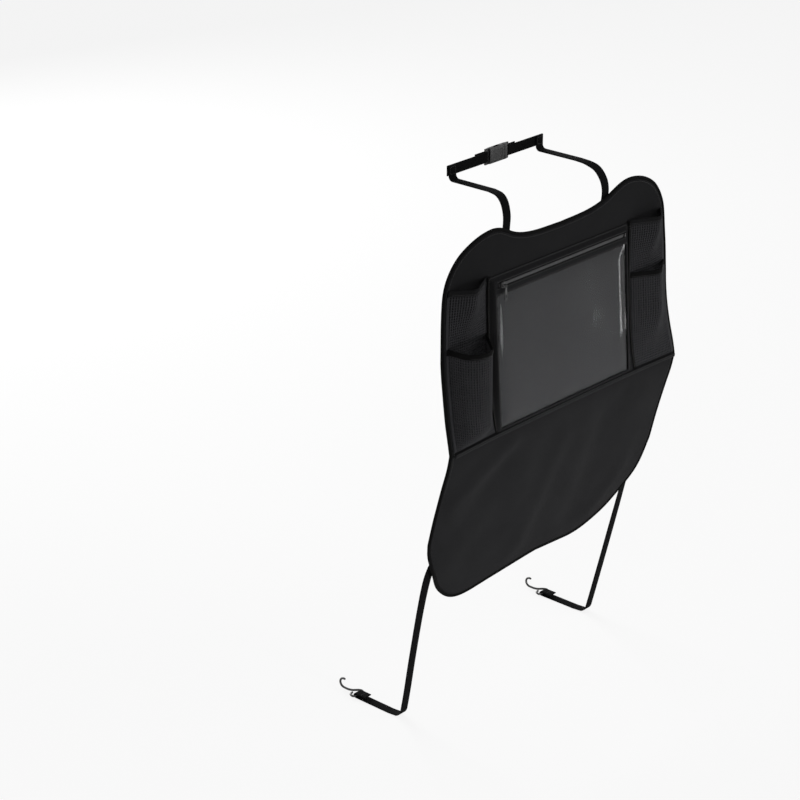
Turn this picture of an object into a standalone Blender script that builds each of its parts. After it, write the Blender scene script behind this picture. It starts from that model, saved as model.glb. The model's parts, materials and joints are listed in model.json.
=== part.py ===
"""Car seat protector with a tablet pocket, two pairs of side pockets and straps.

A padded cloth panel hangs on the back of a car seat. It is drawn around the middle of the tablet pocket:
X runs across the seat, -Y points away from the seat, +Z is up. At the end everything is shifted, so that the
origin is in the loop of the upper straps, on the top of the seat.
"""

import math

import bmesh
import bpy
import numpy as np
from mathutils import Vector

CLEAR = 0.0004

PANEL_HALF_WIDTH = 0.241
PANEL_THICKNESS = 0.0024
PIPING_RADIUS = 0.002
CLOTH = 0.001
WEB = 0.0016

# Half of the panel's outline. The middle of an edge is given in X and Z, the rest as (inset from the side, Z).
TOP_MIDDLE = [(0.0, 0.1595), (0.055, 0.1615), (0.092, 0.1685)]
SHOULDER = [(0.114, 0.1835), (0.0885, 0.186), (0.0585, 0.1785), (0.030, 0.161), (0.0095, 0.130),
            (0.003, 0.085), (0.0, 0.03)]
CORNER = [(0.0, -0.232), (0.006, -0.255), (0.019, -0.281), (0.041, -0.3105), (0.056, -0.3245),
          (0.076, -0.3365), (0.101, -0.3415)]
BOTTOM_MIDDLE = [(0.09, -0.3395), (0.045, -0.335), (0.0, -0.332)]
# Above its crease the panel gets a little narrower.
UPPER_TAPER = 0.0035
UPPER_TAPER_RISE = 0.09
# The left lower corner hangs lower by this much, and the right one higher.
CORNER_LEAN = 0.0102
CORNER_LEAN_INSET = 0.086
CORNER_LEAN_REACH = 0.045

# How far the panel lies toward the seat, as (Z, Y) down its middle and along its side edges.
CREASE_Z = -0.092
UPPER_MIDDLE = [(CREASE_Z, -0.0045), (-0.070, 0.001), (-0.040, 0.005), (0.0, 0.0085),
                (0.06, 0.012), (0.115, 0.013), (0.165, 0.010), (0.195, 0.006)]
UPPER_SIDE = [(CREASE_Z, -0.010), (-0.074, -0.0065), (-0.050, -0.001), (-0.022, 0.004), (0.009, 0.008),
              (0.06, 0.0105), (0.12, 0.0125), (0.165, 0.010), (0.195, 0.004)]
LOWER_MIDDLE = [(-0.365, 0.0525), (-0.340, 0.045), (-0.290, 0.032), (-0.241, 0.019), (-0.200, 0.0095),
                (-0.160, 0.001), (-0.125, -0.0055), (-0.105, -0.007), (CREASE_Z, -0.0045)]
LOWER_SIDE = [(-0.365, 0.098), (-0.340, 0.080), (-0.310, 0.059), (-0.289, 0.0445), (-0.241, 0.030),
              (-0.189, 0.017), (-0.140, 0.003), (-0.114, -0.005), (CREASE_Z, -0.010)]
LOWER_HEIGHT = 0.245
FOLD_DEPTH = 0.004
FOLD_WIDTH = 0.130
FOLD_CREST_X = -0.075
PANEL_COLUMNS = 33
LOWER_ROWS = 12
UPPER_ROWS = 19
# Rows lie closer together near the crease, where the panel bends most.
CREASE_CROWDING = 1.35

# The seam across the waist, which the pockets stand on.
SEAM_Z = -0.088
TABLET_TILT = 0.0676
TABLET_FRONT = -0.002
# The flat sewn edge and the slope inside it, at the sides, the top and the bottom of the frame.
FRAME_HEMS = ((0.0025, 0.004), (0.0035, 0.004), (0.0025, 0.0032))
HEM_CLEAR = 0.0003
WINDOW_HALF_WIDTH = 0.136
WINDOW_TOP = 0.094
WINDOW_BOTTOM = SEAM_Z + 0.0015
WINDOW_LAP = 0.0026
FILM = 0.0005
FILM_TOP = WINDOW_TOP + 0.0032
FILM_BOTTOM = WINDOW_BOTTOM - 0.002
BACKING_HALF_WIDTH = WINDOW_HALF_WIDTH + WINDOW_LAP

ZIP_TAPE = 0.0006
ZIP_TAPE_LOW = FILM_TOP + 0.0006
ZIP_Z = ZIP_TAPE_LOW + 0.0097
ZIP_TAPE_HIGH = ZIP_Z + 0.0047
ZIP_SLOT = 0.006
ZIP_LEFT = 0.003 - WINDOW_HALF_WIDTH
ZIP_RIGHT = WINDOW_HALF_WIDTH
ZIP_STOP = (0.0022, 0.0018, 0.0046)
ZIP_STOP_INSET = 0.0024
ZIP_TEETH_INSET = 0.005
ZIP_TEETH_HEIGHT = 0.0042
ZIP_TEETH_DEPTH = 0.0009
ZIP_TEETH_LIFT = 0.0005
ZIP_PITCH = 0.005
ZIP_TEETH_COUNT = int((ZIP_RIGHT - ZIP_LEFT - ZIP_TEETH_INSET - ZIP_STOP_INSET) / ZIP_PITCH)
ZIP_PARK_X = ZIP_LEFT + 0.007
SLIDER = (0.009, 0.003, 0.008)
BRIDGE = 0.0013
BRIDGE_REACH = 0.0042
ARCH_LENGTH = 0.0076
ARCH_OPENING = 0.005
ARCH_SINK = 0.001
PULL_RING = 0.0018
PULL_WIRE = 0.0005
PULL_TAB = (0.0045, 0.0014, 0.0175)

FRAME_HALF_WIDTH = BACKING_HALF_WIDTH + HEM_CLEAR + sum(FRAME_HEMS[0])
FRAME_TOP = ZIP_TAPE_HIGH + HEM_CLEAR + sum(FRAME_HEMS[1])
FRAME_BOTTOM = FILM_BOTTOM - HEM_CLEAR - sum(FRAME_HEMS[2])

POCKET_INNER = FRAME_HALF_WIDTH + 0.0005
POCKET_BOTTOM = SEAM_Z + 0.0005
INNER_STRIP = 0.0055
OUTER_STRIP = 0.004
EDGE_MARGIN = 0.0022
HEM_HEIGHT = 0.0072
HEM_THICKNESS = 0.0016
TALL_HEM_Z = FRAME_TOP + 0.003
FRONT_HEM_Z = 0.047
MESH = 0.0009
STRAND = 0.0016
# Openings across and up in a net.
TALL_NET = (6, 10)
FRONT_NET = (7, 8)
# Length round a pocket's wall, for the share of it that a strand takes.
WALL_LENGTH = 0.11
# A round form that keeps each pocket open: distance from the middle, distance out of the panel, and radius.
TALL_FORM = (PANEL_HALF_WIDTH - 0.049, 0.010, 0.010)
DEEP_FORM = (PANEL_HALF_WIDTH - 0.041, 0.017, 0.0255)
SHALLOW_FORM = (PANEL_HALF_WIDTH - 0.049, 0.009, 0.012)
LEAST_SWELL = 0.02
DEEP_FOOT_Z = -0.058
SHALLOW_RISE = 0.085
TALL_LOW_SWELL = 0.22
TALL_LOW_RISE = 0.05
TALL_MOUTH_Z = 0.05
TALL_MOUTH_RISE = 0.062

TAPE = 0.0008
TAPE_GAP = 0.0002
TAPE_INSET = 0.001
WAIST_TAPE_DROP = 0.0028

STRAP_WIDTH = 0.0145
STRAP_FEET = (0.1315 - PANEL_HALF_WIDTH, PANEL_HALF_WIDTH - 0.1445)
STRAP_SEWN_Z = (0.116, 0.130, 0.145, 0.160)
# The rest of a headrest strap's rise: the share of its way to the loop, Y and Z.
STRAP_RISE = [(0.006, 0.0125, 0.178), (0.2, 0.0135, 0.194), (0.5, 0.020, 0.2085), (0.86, 0.031, 0.2162)]
STRAP_TOP_Y = (0.045, 0.062, 0.078)
STRAP_TOP_Z = 0.2186
STRAP_BEND = 0.006
STRAP_PATCH_HALF = 0.012
STRAP_PATCH_Z = (0.112, 0.148)

LOOP_MIDDLE_X = -0.011
LOOP_HALF_WIDTH = 0.089
CROSS_Y = 0.1142
CROSS_Z = 0.2315
CROSS_OVERHANG = 0.001
BAR_TURN = 0.0025
BAR_TAIL = 0.018

BUCKLE_WIDTH = 0.022
BUCKLE_DEPTH = 0.0078
BUCKLE_OFFSET = 0.002
SOCKET_LENGTH = 0.028
SOCKET_ROUNDING = 0.0014
SOCKET_BAR = 0.004
MOUTH = (0.024, 0.0042, 0.0165)
MOUTH_INSET = 0.0005
NOTCH = (0.011, 0.0042, 0.008)
NOTCH_OFFSET = 0.001
PLUG_LENGTH = 0.0065
PLUG_ROUNDING = 0.0012
PLUG_BAR = 0.0125
TONGUE = (0.016, 0.0030, 0.0042)
PRONG = (0.0125, 0.0030, 0.0026)
PRONG_Z = 0.0062
PRONG_ROOT = 0.0005
BRACKET = (0.0085, 0.0020)
BRACKET_BAR = 0.0013
BRACKET_SLOT = 0.0045
SLOT_OFFSET = 0.0007
SLOT_CLEAR = 0.0008

LOWER_WIDTH = 0.014
LOWER_CLEAR = 1.8 * CLEAR
LOWER_TOP_X = PANEL_HALF_WIDTH - 0.0245
LOWER_SEWN_Z = (-0.240, -0.250, -0.262)
LOWER_PATCH_HALF = 0.010
LOWER_PATCH_Z = (-0.262, -0.238)
# A lower strap's way down: how far in it has come from its sewn end, Y and Z.
LOWER_DROP = [(0.0, 0.0425, -0.278), (0.0, 0.0512, -0.303), (0.001, 0.0628, -0.352), (0.0045, 0.0795, -0.428),
              (0.008, 0.092, -0.486), (0.0097, 0.0996, -0.5195)]
LOWER_BEND = 0.010
LOWER_BEND_TURN = 1.33
LOWER_SAG = (0.0024, 0.0022)
LOWER_FLAT_DROP = 0.0012
LOWER_FLAT_Y = (0.124, 0.142, 0.162)
LOWER_END_Y = 0.186
LOWER_TAIL = 0.018
# How fast the lean of the sewn end fades along the strap, and after how many of its points.
LEAN_FADE = 3.0
LEAN_POINTS = 9
LEAN_REACH = 0.007

HOOK_WIRE = 0.0016
HOOK_SIDE = 0.003
HOOK_CORNER = 0.0022
HOOK_SHOULDER = 0.0075
HOOK_NECK = 0.014
HOOK_NECK_GAP = 0.0045
HOOK_SHANK = (0.006, 0.014)
HOOK_RADIUS = 0.007
HOOK_SWEEP = math.radians(200)

FRAME_SHIFT = (0.0, -0.075, -0.2178)


def clear_scene():
    for thing in list(bpy.data.objects):
        bpy.data.objects.remove(thing, do_unlink=True)


def collection(name):
    folder = bpy.data.collections.new(name)
    bpy.context.scene.collection.children.link(folder)
    return folder


def material(name, colour, roughness, metallic=0.0, alpha=1.0):
    made = bpy.data.materials.new(name)
    made.use_nodes = True
    shader = made.node_tree.nodes["Principled BSDF"]
    shader.inputs["Base Color"].default_value = (*colour, 1.0)
    shader.inputs["Roughness"].default_value = roughness
    shader.inputs["Metallic"].default_value = metallic
    shader.inputs["Alpha"].default_value = alpha
    return made


def smooth_value(knots, at):
    """A smooth curve through (position, value) knots with rising positions."""
    where = np.array([k[0] for k in knots])
    value = np.array([k[1] for k in knots])
    slope = np.gradient(value, where)
    at = min(max(at, where[0]), where[-1])
    i = min(int(np.searchsorted(where, at, side="right")) - 1, len(knots) - 2)
    span = where[i + 1] - where[i]
    t = (at - where[i]) / span
    a = (2 * t**3 - 3 * t**2 + 1) * value[i] + (t**3 - 2 * t**2 + t) * span * slope[i]
    b = (3 * t**2 - 2 * t**3) * value[i + 1] + (t**3 - t**2) * span * slope[i + 1]
    return float(a + b)


def smooth_path(points, steps):
    """A Catmull-Rom curve through the points, with `steps` stretches between two of them."""
    p = [np.array(q, dtype=float) for q in points]
    p = [2 * p[0] - p[1], *p, 2 * p[-1] - p[-2]]
    path = []
    for a, b, c, d in zip(p, p[1:], p[2:], p[3:]):
        for k in range(steps):
            t = k / steps
            path.append(0.5 * (2 * b + (c - a) * t + (2 * a - 5 * b + 4 * c - d) * t**2
                               + (3 * b - a - 3 * c + d) * t**3))
    return [*path, p[-2]]


def ease(t):
    t = min(max(t, 0.0), 1.0)
    return t * t * (3 - 2 * t)


def panel_y(x, z):
    """Middle of the panel's thickness."""
    middle, side = (UPPER_MIDDLE, UPPER_SIDE) if z >= CREASE_Z else (LOWER_MIDDLE, LOWER_SIDE)
    reach = (abs(x) / PANEL_HALF_WIDTH) ** 3
    y = smooth_value(middle, z) * (1 - reach) + smooth_value(side, z) * reach
    drop = (CREASE_Z - z) / LOWER_HEIGHT
    if drop > 0:
        fade = math.sin(math.pi * min(drop, 1.0) ** 0.8) * (1 - reach)
        y -= FOLD_DEPTH * fade * math.cos(2 * math.pi * (x - FOLD_CREST_X) / FOLD_WIDTH)
    return y


def inset(points, distance):
    """The outline points moved inward, square to the outline."""
    moved = []
    for i, point in enumerate(points):
        before, after = points[max(i - 1, 0)], points[min(i + 1, len(points) - 1)]
        along = np.array(after) - np.array(before)
        inward = np.array((along[1], -along[0])) / np.hypot(*along)
        moved.append(np.array(point) + distance * inward)
    return moved


def from_side(knots):
    """Knots given by their inset from the panel's side, with X instead."""
    return [(PANEL_HALF_WIDTH - inward, z) for inward, z in knots]


BORDER = 2 * PIPING_RADIUS + CLEAR
TOP_CURVE = inset(smooth_path(TOP_MIDDLE + from_side(SHOULDER), 8), BORDER)
BOTTOM_CURVE = inset(smooth_path(from_side(CORNER) + BOTTOM_MIDDLE, 8), BORDER)
CLOTH_HALF_WIDTH = PANEL_HALF_WIDTH - BORDER


def top_z(x):
    return float(np.interp(abs(x), [p[0] for p in TOP_CURVE], [p[1] for p in TOP_CURVE]))


def bottom_z(x):
    rising = BOTTOM_CURVE[::-1]
    level = float(np.interp(abs(x), [p[0] for p in rising], [p[1] for p in rising]))
    off = (PANEL_HALF_WIDTH - CORNER_LEAN_INSET - abs(x)) / CORNER_LEAN_REACH
    return level + math.copysign(CORNER_LEAN, x) * math.exp(-off * off)


def taper(z):
    """The panel's width at a height, against its width at the crease."""
    return 1 - UPPER_TAPER / PANEL_HALF_WIDTH * ease((z - CREASE_Z) / UPPER_TAPER_RISE)


def half_width(z):
    """Half of the cloth's width at a height above the crease."""
    crest = max(range(len(TOP_CURVE)), key=lambda i: TOP_CURVE[i][1])
    falling = TOP_CURVE[crest:][::-1]
    return float(np.interp(z, [p[1] for p in falling], [p[0] for p in falling])) * taper(z)


def sheet(name, across, up, place, thickness, skin, hole=None):
    """A cloth sheet: a grid bent by `place`, with holes where `hole` says, then given its thickness."""
    bm = bmesh.new()
    columns, rows = len(across) - 1, len(up) - 1
    bmesh.ops.create_grid(bm, x_segments=columns, y_segments=rows, size=0.5)
    if hole:
        gone = []
        for face in bm.faces:
            spot = face.calc_center_median()
            if hole(int((spot.x + 0.5) * columns), int((spot.y + 0.5) * rows)):
                gone.append(face)
        bmesh.ops.delete(bm, geom=gone, context="FACES")
    for vert in bm.verts:
        i = round((vert.co.x + 0.5) * columns)
        j = round((vert.co.y + 0.5) * rows)
        vert.co = place(across[i], up[j])
    mesh = bpy.data.meshes.new(name)
    bm.to_mesh(mesh)
    bm.free()
    thing = bpy.data.objects.new(name, mesh)
    solid = thing.modifiers.new("Thickness", "SOLIDIFY")
    solid.thickness = thickness
    solid.offset = 0.0
    solid.use_even_offset = True
    mesh.materials.append(skin)
    PARTS.objects.link(thing)
    return thing


def ribbon(name, path, width, thickness, wide, skin, lean=0.0):
    """A flat strap along a path, its width along `wide`; it leans in Y at its start, by `lean`."""
    wide = np.array(wide, dtype=float)

    def place(side, i):
        fade = 1 - ease(LEAN_FADE * (i - LEAN_POINTS) / len(path))
        return Vector(path[int(i)] + side * width / 2 * (wide + np.array((0.0, lean * fade, 0.0))))

    return sheet(name, (-1.0, 1.0), range(len(path)), place, thickness, skin)


def rehome(thing, folder):
    for home in list(thing.users_collection):
        home.objects.unlink(thing)
    folder.objects.link(thing)


def box(name, size, centre, skin, bevel=0.0, folder=None):
    bpy.ops.mesh.primitive_cube_add(size=1.0, location=centre)
    thing = bpy.context.object
    thing.name = name
    thing.scale = size
    bpy.ops.object.transform_apply(location=False, rotation=False, scale=True)
    rehome(thing, folder or PARTS)
    thing.data.materials.append(skin)
    if bevel:
        rounding = thing.modifiers.new("Rounding", "BEVEL")
        rounding.width = bevel
        rounding.segments = 2
    return thing


def combine(thing, other, operation):
    step = thing.modifiers.new(operation.title(), "BOOLEAN")
    step.operation = operation
    step.object = other
    step.solver = "EXACT"


def cutter(name, size, centre):
    tool = box(name, size, centre, GUIDE, folder=CUTTERS)
    tool.hide_render = True
    tool.display_type = "WIRE"
    return tool


def wire(name, points, radius, skin, closed=False, resolution=1):
    curve = bpy.data.curves.new(name, "CURVE")
    curve.dimensions = "3D"
    curve.bevel_depth = radius
    curve.bevel_resolution = resolution
    curve.use_fill_caps = not closed
    spline = curve.splines.new("POLY")
    spline.points.add(len(points) - 1)
    for spot, point in zip(spline.points, points):
        spot.co = (*point, 1.0)
    spline.use_cyclic_u = closed
    curve.materials.append(skin)
    thing = bpy.data.objects.new(name, curve)
    PARTS.objects.link(thing)
    return thing


def spaced(start, stop, count):
    return [float(v) for v in np.linspace(start, stop, count)]


def make_panel():
    """The padded panel and the piping that is sewn round its edge."""
    across = [CLOTH_HALF_WIDTH * math.sin(math.pi / 2 * t) for t in spaced(-1, 1, PANEL_COLUMNS)]
    up = spaced(-1, 0, LOWER_ROWS) + [t**CREASE_CROWDING for t in spaced(0, 1, UPPER_ROWS)[1:]]

    def place(x, t):
        z = CREASE_Z + abs(t) * ((top_z(x) if t >= 0 else bottom_z(x)) - CREASE_Z)
        x *= taper(z)
        return Vector((x, panel_y(x, z), z))

    sheet("main_panel", across, up, place, PANEL_THICKNESS, FABRIC)
    loop = [place(x, 1.0) for x in across] + [place(across[-1], t) for t in up[-2:0:-1]]
    loop += [place(x, -1.0) for x in across[::-1]] + [place(across[0], t) for t in up[1:-1]]
    path = []
    for i, point in enumerate(loop):
        along = loop[(i + 1) % len(loop)] - loop[i - 1]
        outward = Vector((-along.z, 0.0, along.x)).normalized()
        path.append(point + (PIPING_RADIUS + CLEAR) * outward)
    wire("edge_piping", path, PIPING_RADIUS, BINDING, closed=True)


def tablet_y(z):
    """Middle of the pocket frame's cloth, parallel to the tablet behind it."""
    return TABLET_TILT * z + TABLET_FRONT


def frame_y(x, z):
    """The pocket frame: flat round the window, sewn down to the panel along its outside."""
    insets = (FRAME_HALF_WIDTH - abs(x), FRAME_TOP - z, z - FRAME_BOTTOM)
    rise = min(ease((at - flat) / slope) for at, (flat, slope) in zip(insets, FRAME_HEMS))
    return tablet_y(z) * rise + layer_y(x, z, 1) * (1 - rise)


def layer_y(x, z, layer):
    """Middle of a cloth layer sewn on the panel's front, counted outward from the panel."""
    step = CLOTH + CLEAR
    return panel_y(x, z) - PANEL_THICKNESS / 2 - CLEAR - CLOTH / 2 - (layer - 1) * step


def hem_knots(edge, hem):
    """Places across a sewn hem, from its edge inward: the ends of the flat part, and of the slope."""
    flat, slope = hem
    return [edge, edge - flat, edge - flat - slope / 2, edge - flat - slope]


def make_tablet_pocket():
    """The frame with its window and zip slot, and the clear film behind the window."""
    side, top, bottom = (hem_knots(*size) for size in zip((FRAME_HALF_WIDTH, FRAME_TOP, -FRAME_BOTTOM), FRAME_HEMS))
    right = [-ZIP_LEFT, WINDOW_HALF_WIDTH, *side[::-1]]
    across = [-x for x in right[::-1]] + spaced(-0.8 * WINDOW_HALF_WIDTH, 0.8 * WINDOW_HALF_WIDTH, 7) + right
    slot_low, slot_high = ZIP_Z - ZIP_SLOT / 2, ZIP_Z + ZIP_SLOT / 2
    up = [-z for z in bottom] + spaced(WINDOW_BOTTOM, WINDOW_TOP, 7)
    up += [(FILM_TOP + slot_low) / 2, slot_low, slot_high, *top[::-1]]

    def place(x, z):
        return Vector((x, frame_y(x, z), z))

    def hole(i, j):
        x, z = (across[i] + across[i + 1]) / 2, (up[j] + up[j + 1]) / 2
        window = abs(x) < WINDOW_HALF_WIDTH and WINDOW_BOTTOM < z < WINDOW_TOP
        slot = ZIP_LEFT < x < ZIP_RIGHT and slot_low < z < slot_high
        return window or slot

    sheet("tablet_pocket_frame", across, up, place, CLOTH, POCKET, hole)

    behind = CLOTH / 2 + CLEAR + FILM / 2

    def film(x, z):
        return Vector((x, tablet_y(z) + behind, z))

    across = spaced(-BACKING_HALF_WIDTH, BACKING_HALF_WIDTH, 5)
    sheet("clear_window", across, spaced(FILM_BOTTOM, FILM_TOP, 4), film, FILM, FILM_SKIN)


def make_zip():
    """Two tapes, the coil in the slot, end stops, and the slider with its hanging pull."""
    tape_y = CLOTH / 2 + CLEAR + ZIP_TAPE / 2
    ends = spaced(-BACKING_HALF_WIDTH, BACKING_HALF_WIDTH, 9)

    def taped(x, z):
        return Vector((x, tablet_y(z) + tape_y, z))

    sheet("zip_tape_lower", ends, (ZIP_TAPE_LOW, ZIP_Z - CLEAR / 2), taped, ZIP_TAPE, BINDING)
    sheet("zip_tape_upper", ends, (ZIP_Z + CLEAR / 2, ZIP_TAPE_HIGH), taped, ZIP_TAPE, BINDING)

    teeth_y = tape_y - ZIP_TAPE / 2 - CLEAR - ZIP_TEETH_DEPTH / 2
    start = ZIP_LEFT + ZIP_TEETH_INSET
    edges = [start + ZIP_PITCH * (k + part) for k in range(ZIP_TEETH_COUNT) for part in (0.3, 0.7)]

    def tooth(x, z):
        lift = ZIP_TEETH_LIFT if int((x - start) / ZIP_PITCH) % 2 else 0.0
        return Vector((x, tablet_y(z) + teeth_y - lift, z))

    half = ZIP_TEETH_HEIGHT / 2
    sheet("zip_coil", edges, (ZIP_Z - half, ZIP_Z + half), tooth, ZIP_TEETH_DEPTH, COIL)
    stop_y = tablet_y(ZIP_Z) + tape_y - ZIP_TAPE / 2 - CLEAR - ZIP_STOP[1] / 2
    for side, x in (("left", ZIP_LEFT + ZIP_STOP_INSET), ("right", ZIP_RIGHT - ZIP_STOP_INSET)):
        box(f"zip_stop_{side}", ZIP_STOP, (x, stop_y, ZIP_Z), METAL, ZIP_STOP[0] / 5)
    make_slider(tablet_y(ZIP_Z) + teeth_y - ZIP_TEETH_LIFT - ZIP_TEETH_DEPTH / 2 - CLEAR)


def make_slider(back):
    """The slider's body with an arch over it, and the pull, which hangs by a ring round the arch."""
    front = back - SLIDER[1]
    slider = box("zip_slider", SLIDER, (ZIP_PARK_X, back - SLIDER[1] / 2, ZIP_Z), METAL, SLIDER[1] / 4)
    arch = cutter("slider_arch", (ARCH_LENGTH, BRIDGE_REACH + ARCH_SINK, BRIDGE),
                  (ZIP_PARK_X, front - (BRIDGE_REACH - ARCH_SINK) / 2, ZIP_Z))
    gap = BRIDGE_REACH - BRIDGE
    opening = cutter("arch_opening", (ARCH_OPENING, gap, 2 * BRIDGE), (ZIP_PARK_X, front - gap / 2, ZIP_Z))
    combine(arch, opening, "DIFFERENCE")
    combine(slider, arch, "UNION")

    bar_y = front - BRIDGE_REACH + BRIDGE / 2
    bpy.ops.mesh.primitive_torus_add(location=(ZIP_PARK_X, bar_y, ZIP_Z), rotation=(0, math.pi / 2, 0),
                                     major_radius=PULL_RING, minor_radius=PULL_WIRE,
                                     major_segments=16, minor_segments=8)
    pull = bpy.context.object
    pull.name = "zip_pull"
    rehome(pull, PARTS)
    pull.data.materials.append(METAL)
    drop = PULL_RING + PULL_TAB[2] / 2 - PULL_WIRE / 2
    tab = cutter("pull_tab", PULL_TAB, (ZIP_PARK_X, bar_y, ZIP_Z - drop))
    combine(pull, tab, "UNION")


def outside_path(form, outer, inner, scale, samples=24):
    """A taut line from the outer seam over a round form to the inner seam, in (distance, depth)."""
    centre, depth, radius = form
    angles = np.linspace(0, math.pi, samples)
    ring = [(centre + radius * math.cos(a), depth + radius * math.sin(a)) for a in angles]
    points = sorted([(outer, 0.0), (inner, 0.0), *ring])
    hull = []
    for point in points:
        while len(hull) > 1:
            (ax, ay), (bx, by) = hull[-2:]
            if (bx - ax) * (point[1] - ay) - (by - ay) * (point[0] - ax) < 0:
                break
            hull.pop()
        hull.append(point)
    return [(x, d * scale) for x, d in hull]


def on_path(path, t):
    """The point a part `t` of the way along a path."""
    steps = [math.dist(a, b) for a, b in zip(path, path[1:])]
    run = np.concatenate(([0.0], np.cumsum(steps)))
    at = t * run[-1]
    return (float(np.interp(at, run, [p[0] for p in path])), float(np.interp(at, run, [p[1] for p in path])))


class Pocket:
    """One mesh pocket: its wall, bulged over a form, and the hem along its mouth."""

    def __init__(self, side, form, hem_z, layer, swell):
        self.side = side
        self.form = form
        self.hem_z = hem_z
        self.layer = layer
        self.swell = swell

    def place(self, t, z, out=0.0):
        """`t` runs over the wall from its outer line (0) to its inner one (1), with a sewn strip past each."""
        edge = half_width(z) - EDGE_MARGIN
        outer, inner = edge - OUTER_STRIP, POCKET_INNER + INNER_STRIP
        if t < 0:
            x, depth = outer - t * OUTER_STRIP, 0.0
        elif t > 1:
            x, depth = inner - (t - 1) * INNER_STRIP, 0.0
        else:
            x, depth = on_path(outside_path(self.form, outer, inner, self.swell(z)), 1 - t)
        y = layer_y(x, z, self.layer) - depth - out
        return Vector((self.side * x, y, z))


def deep_swell(z):
    """Full depth at the mouth; less below, as the form stands upright and the panel leans out; a round foot."""
    centre, depth, radius = DEEP_FORM
    lean = (panel_y(centre, FRONT_HEM_Z) - panel_y(centre, z)) / (depth + radius)
    t = min(max((DEEP_FOOT_Z - z) / (DEEP_FOOT_Z - POCKET_BOTTOM), 0.0), 1.0)
    return (1 - lean) * (1 - t**1.5) + LEAST_SWELL


def shallow_swell(z):
    """Swells slowly from the seam up."""
    return LEAST_SWELL + (1 - LEAST_SWELL) * ease((z - POCKET_BOTTOM) / SHALLOW_RISE)


def tall_swell(z):
    """Open at the mouth, nearly flat behind the front pocket."""
    low = LEAST_SWELL + (TALL_LOW_SWELL - LEAST_SWELL) * ease((z - POCKET_BOTTOM) / TALL_LOW_RISE)
    return low + (1 - TALL_LOW_SWELL) * ease((z - TALL_MOUTH_Z) / TALL_MOUTH_RISE)


def mesh_rows(low, high, count, strand):
    """Borders of a net: a strand, then an opening, and so on, with a strand last."""
    edges = [low]
    gap = (high - low - (count + 1) * strand) / count
    for _ in range(count):
        edges.append(edges[-1] + strand)
        edges.append(edges[-1] + gap)
    return [*edges, high]


def make_pocket(name, pocket, columns, rows):
    top = pocket.hem_z - HEM_HEIGHT - CLEAR
    across = [-1.0, *mesh_rows(0.0, 1.0, columns, STRAND / WALL_LENGTH), 2.0]
    up = mesh_rows(POCKET_BOTTOM, top, rows, STRAND)

    def hole(i, j):
        return i % 2 == 0 and j % 2 == 1 and 0 < i < len(across) - 2

    sheet(f"{name}_mesh", across, up, pocket.place, MESH, NET, hole)

    def hem(t, z):
        return pocket.place(t, z, out=(HEM_THICKNESS - CLOTH) / 2)

    low = pocket.hem_z - HEM_HEIGHT
    along = [-1.0, *spaced(0.0, 1.0, 2 * columns + 2), 2.0]
    sheet(f"{name}_hem", along, (low, pocket.hem_z), hem, HEM_THICKNESS, BINDING)


def make_pockets():
    """A tall pocket on each side, with a shorter one in front of it."""
    for side, word, form, swell in ((-1, "left", DEEP_FORM, deep_swell), (1, "right", SHALLOW_FORM, shallow_swell)):
        tall = Pocket(side, TALL_FORM, TALL_HEM_Z, 1, tall_swell)
        make_pocket(f"{word}_tall_pocket", tall, *TALL_NET)
        front = Pocket(side, form, FRONT_HEM_Z, 2, swell)
        make_pocket(f"{word}_front_pocket", front, *FRONT_NET)


def make_tapes():
    """Flat tapes over the pocket edges: two upright ones and one along the waist seam."""
    def place(x, z):
        return Vector((x, layer_y(x, z, 3) - CLEAR / 2, z))

    high = spaced(POCKET_BOTTOM - TAPE_INSET, TALL_HEM_Z, 12)
    borders = (POCKET_INNER + TAPE_GAP, POCKET_INNER + INNER_STRIP - TAPE_INSET)
    for side, word in ((-1, "left"), (1, "right")):
        across = sorted(side * border for border in borders)
        sheet(f"divider_tape_{word}", across, high, place, TAPE, BINDING)
    end = half_width(CREASE_Z) - TAPE_INSET
    low = (FRAME_BOTTOM - TAPE_INSET, POCKET_BOTTOM - WAIST_TAPE_DROP)
    sheet("waist_seam_tape", spaced(-end, end, 33), low, place, TAPE, BINDING)


def make_upper_straps():
    """Each strap is sewn on the panel's back, goes over the seat and up to the cross strap."""
    patch_y = PANEL_THICKNESS / 2 + CLEAR + CLOTH / 2
    strap_y = patch_y + CLOTH / 2 + CLEAR + WEB / 2

    def patch(x, z):
        return Vector((x, panel_y(x, z) + patch_y, z))

    for side, word, foot_x in ((-1, "left", STRAP_FEET[0]), (1, "right", STRAP_FEET[1])):
        across = spaced(foot_x - STRAP_PATCH_HALF, foot_x + STRAP_PATCH_HALF, 3)
        sheet(f"upper_strap_patch_{word}", across, spaced(*STRAP_PATCH_Z, 4), patch, CLOTH, POCKET)
        top_x = LOOP_MIDDLE_X + side * LOOP_HALF_WIDTH
        rise = [(foot_x, panel_y(foot_x, z) + strap_y, z) for z in STRAP_SEWN_Z]
        rise += [(foot_x + (top_x - foot_x) * share, y, z) for share, y, z in STRAP_RISE]
        path = smooth_path([*rise, (top_x, STRAP_TOP_Y[0], STRAP_TOP_Z)], 3)
        bend_y = CROSS_Y - WEB - CLEAR - STRAP_BEND
        path += [np.array((top_x, y, STRAP_TOP_Z)) for y in (*STRAP_TOP_Y[1:], bend_y)]
        for k in range(1, 6):
            a = k / 5 * math.pi / 2
            path.append(np.array((top_x, bend_y + STRAP_BEND * math.sin(a),
                                  STRAP_TOP_Z + STRAP_BEND - STRAP_BEND * math.cos(a))))
        path.append(np.array((top_x, bend_y + STRAP_BEND, CROSS_Z + STRAP_WIDTH / 2)))
        ribbon(f"headrest_strap_{word}", path, STRAP_WIDTH, WEB, (1, 0, 0), WEBBING)


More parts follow.
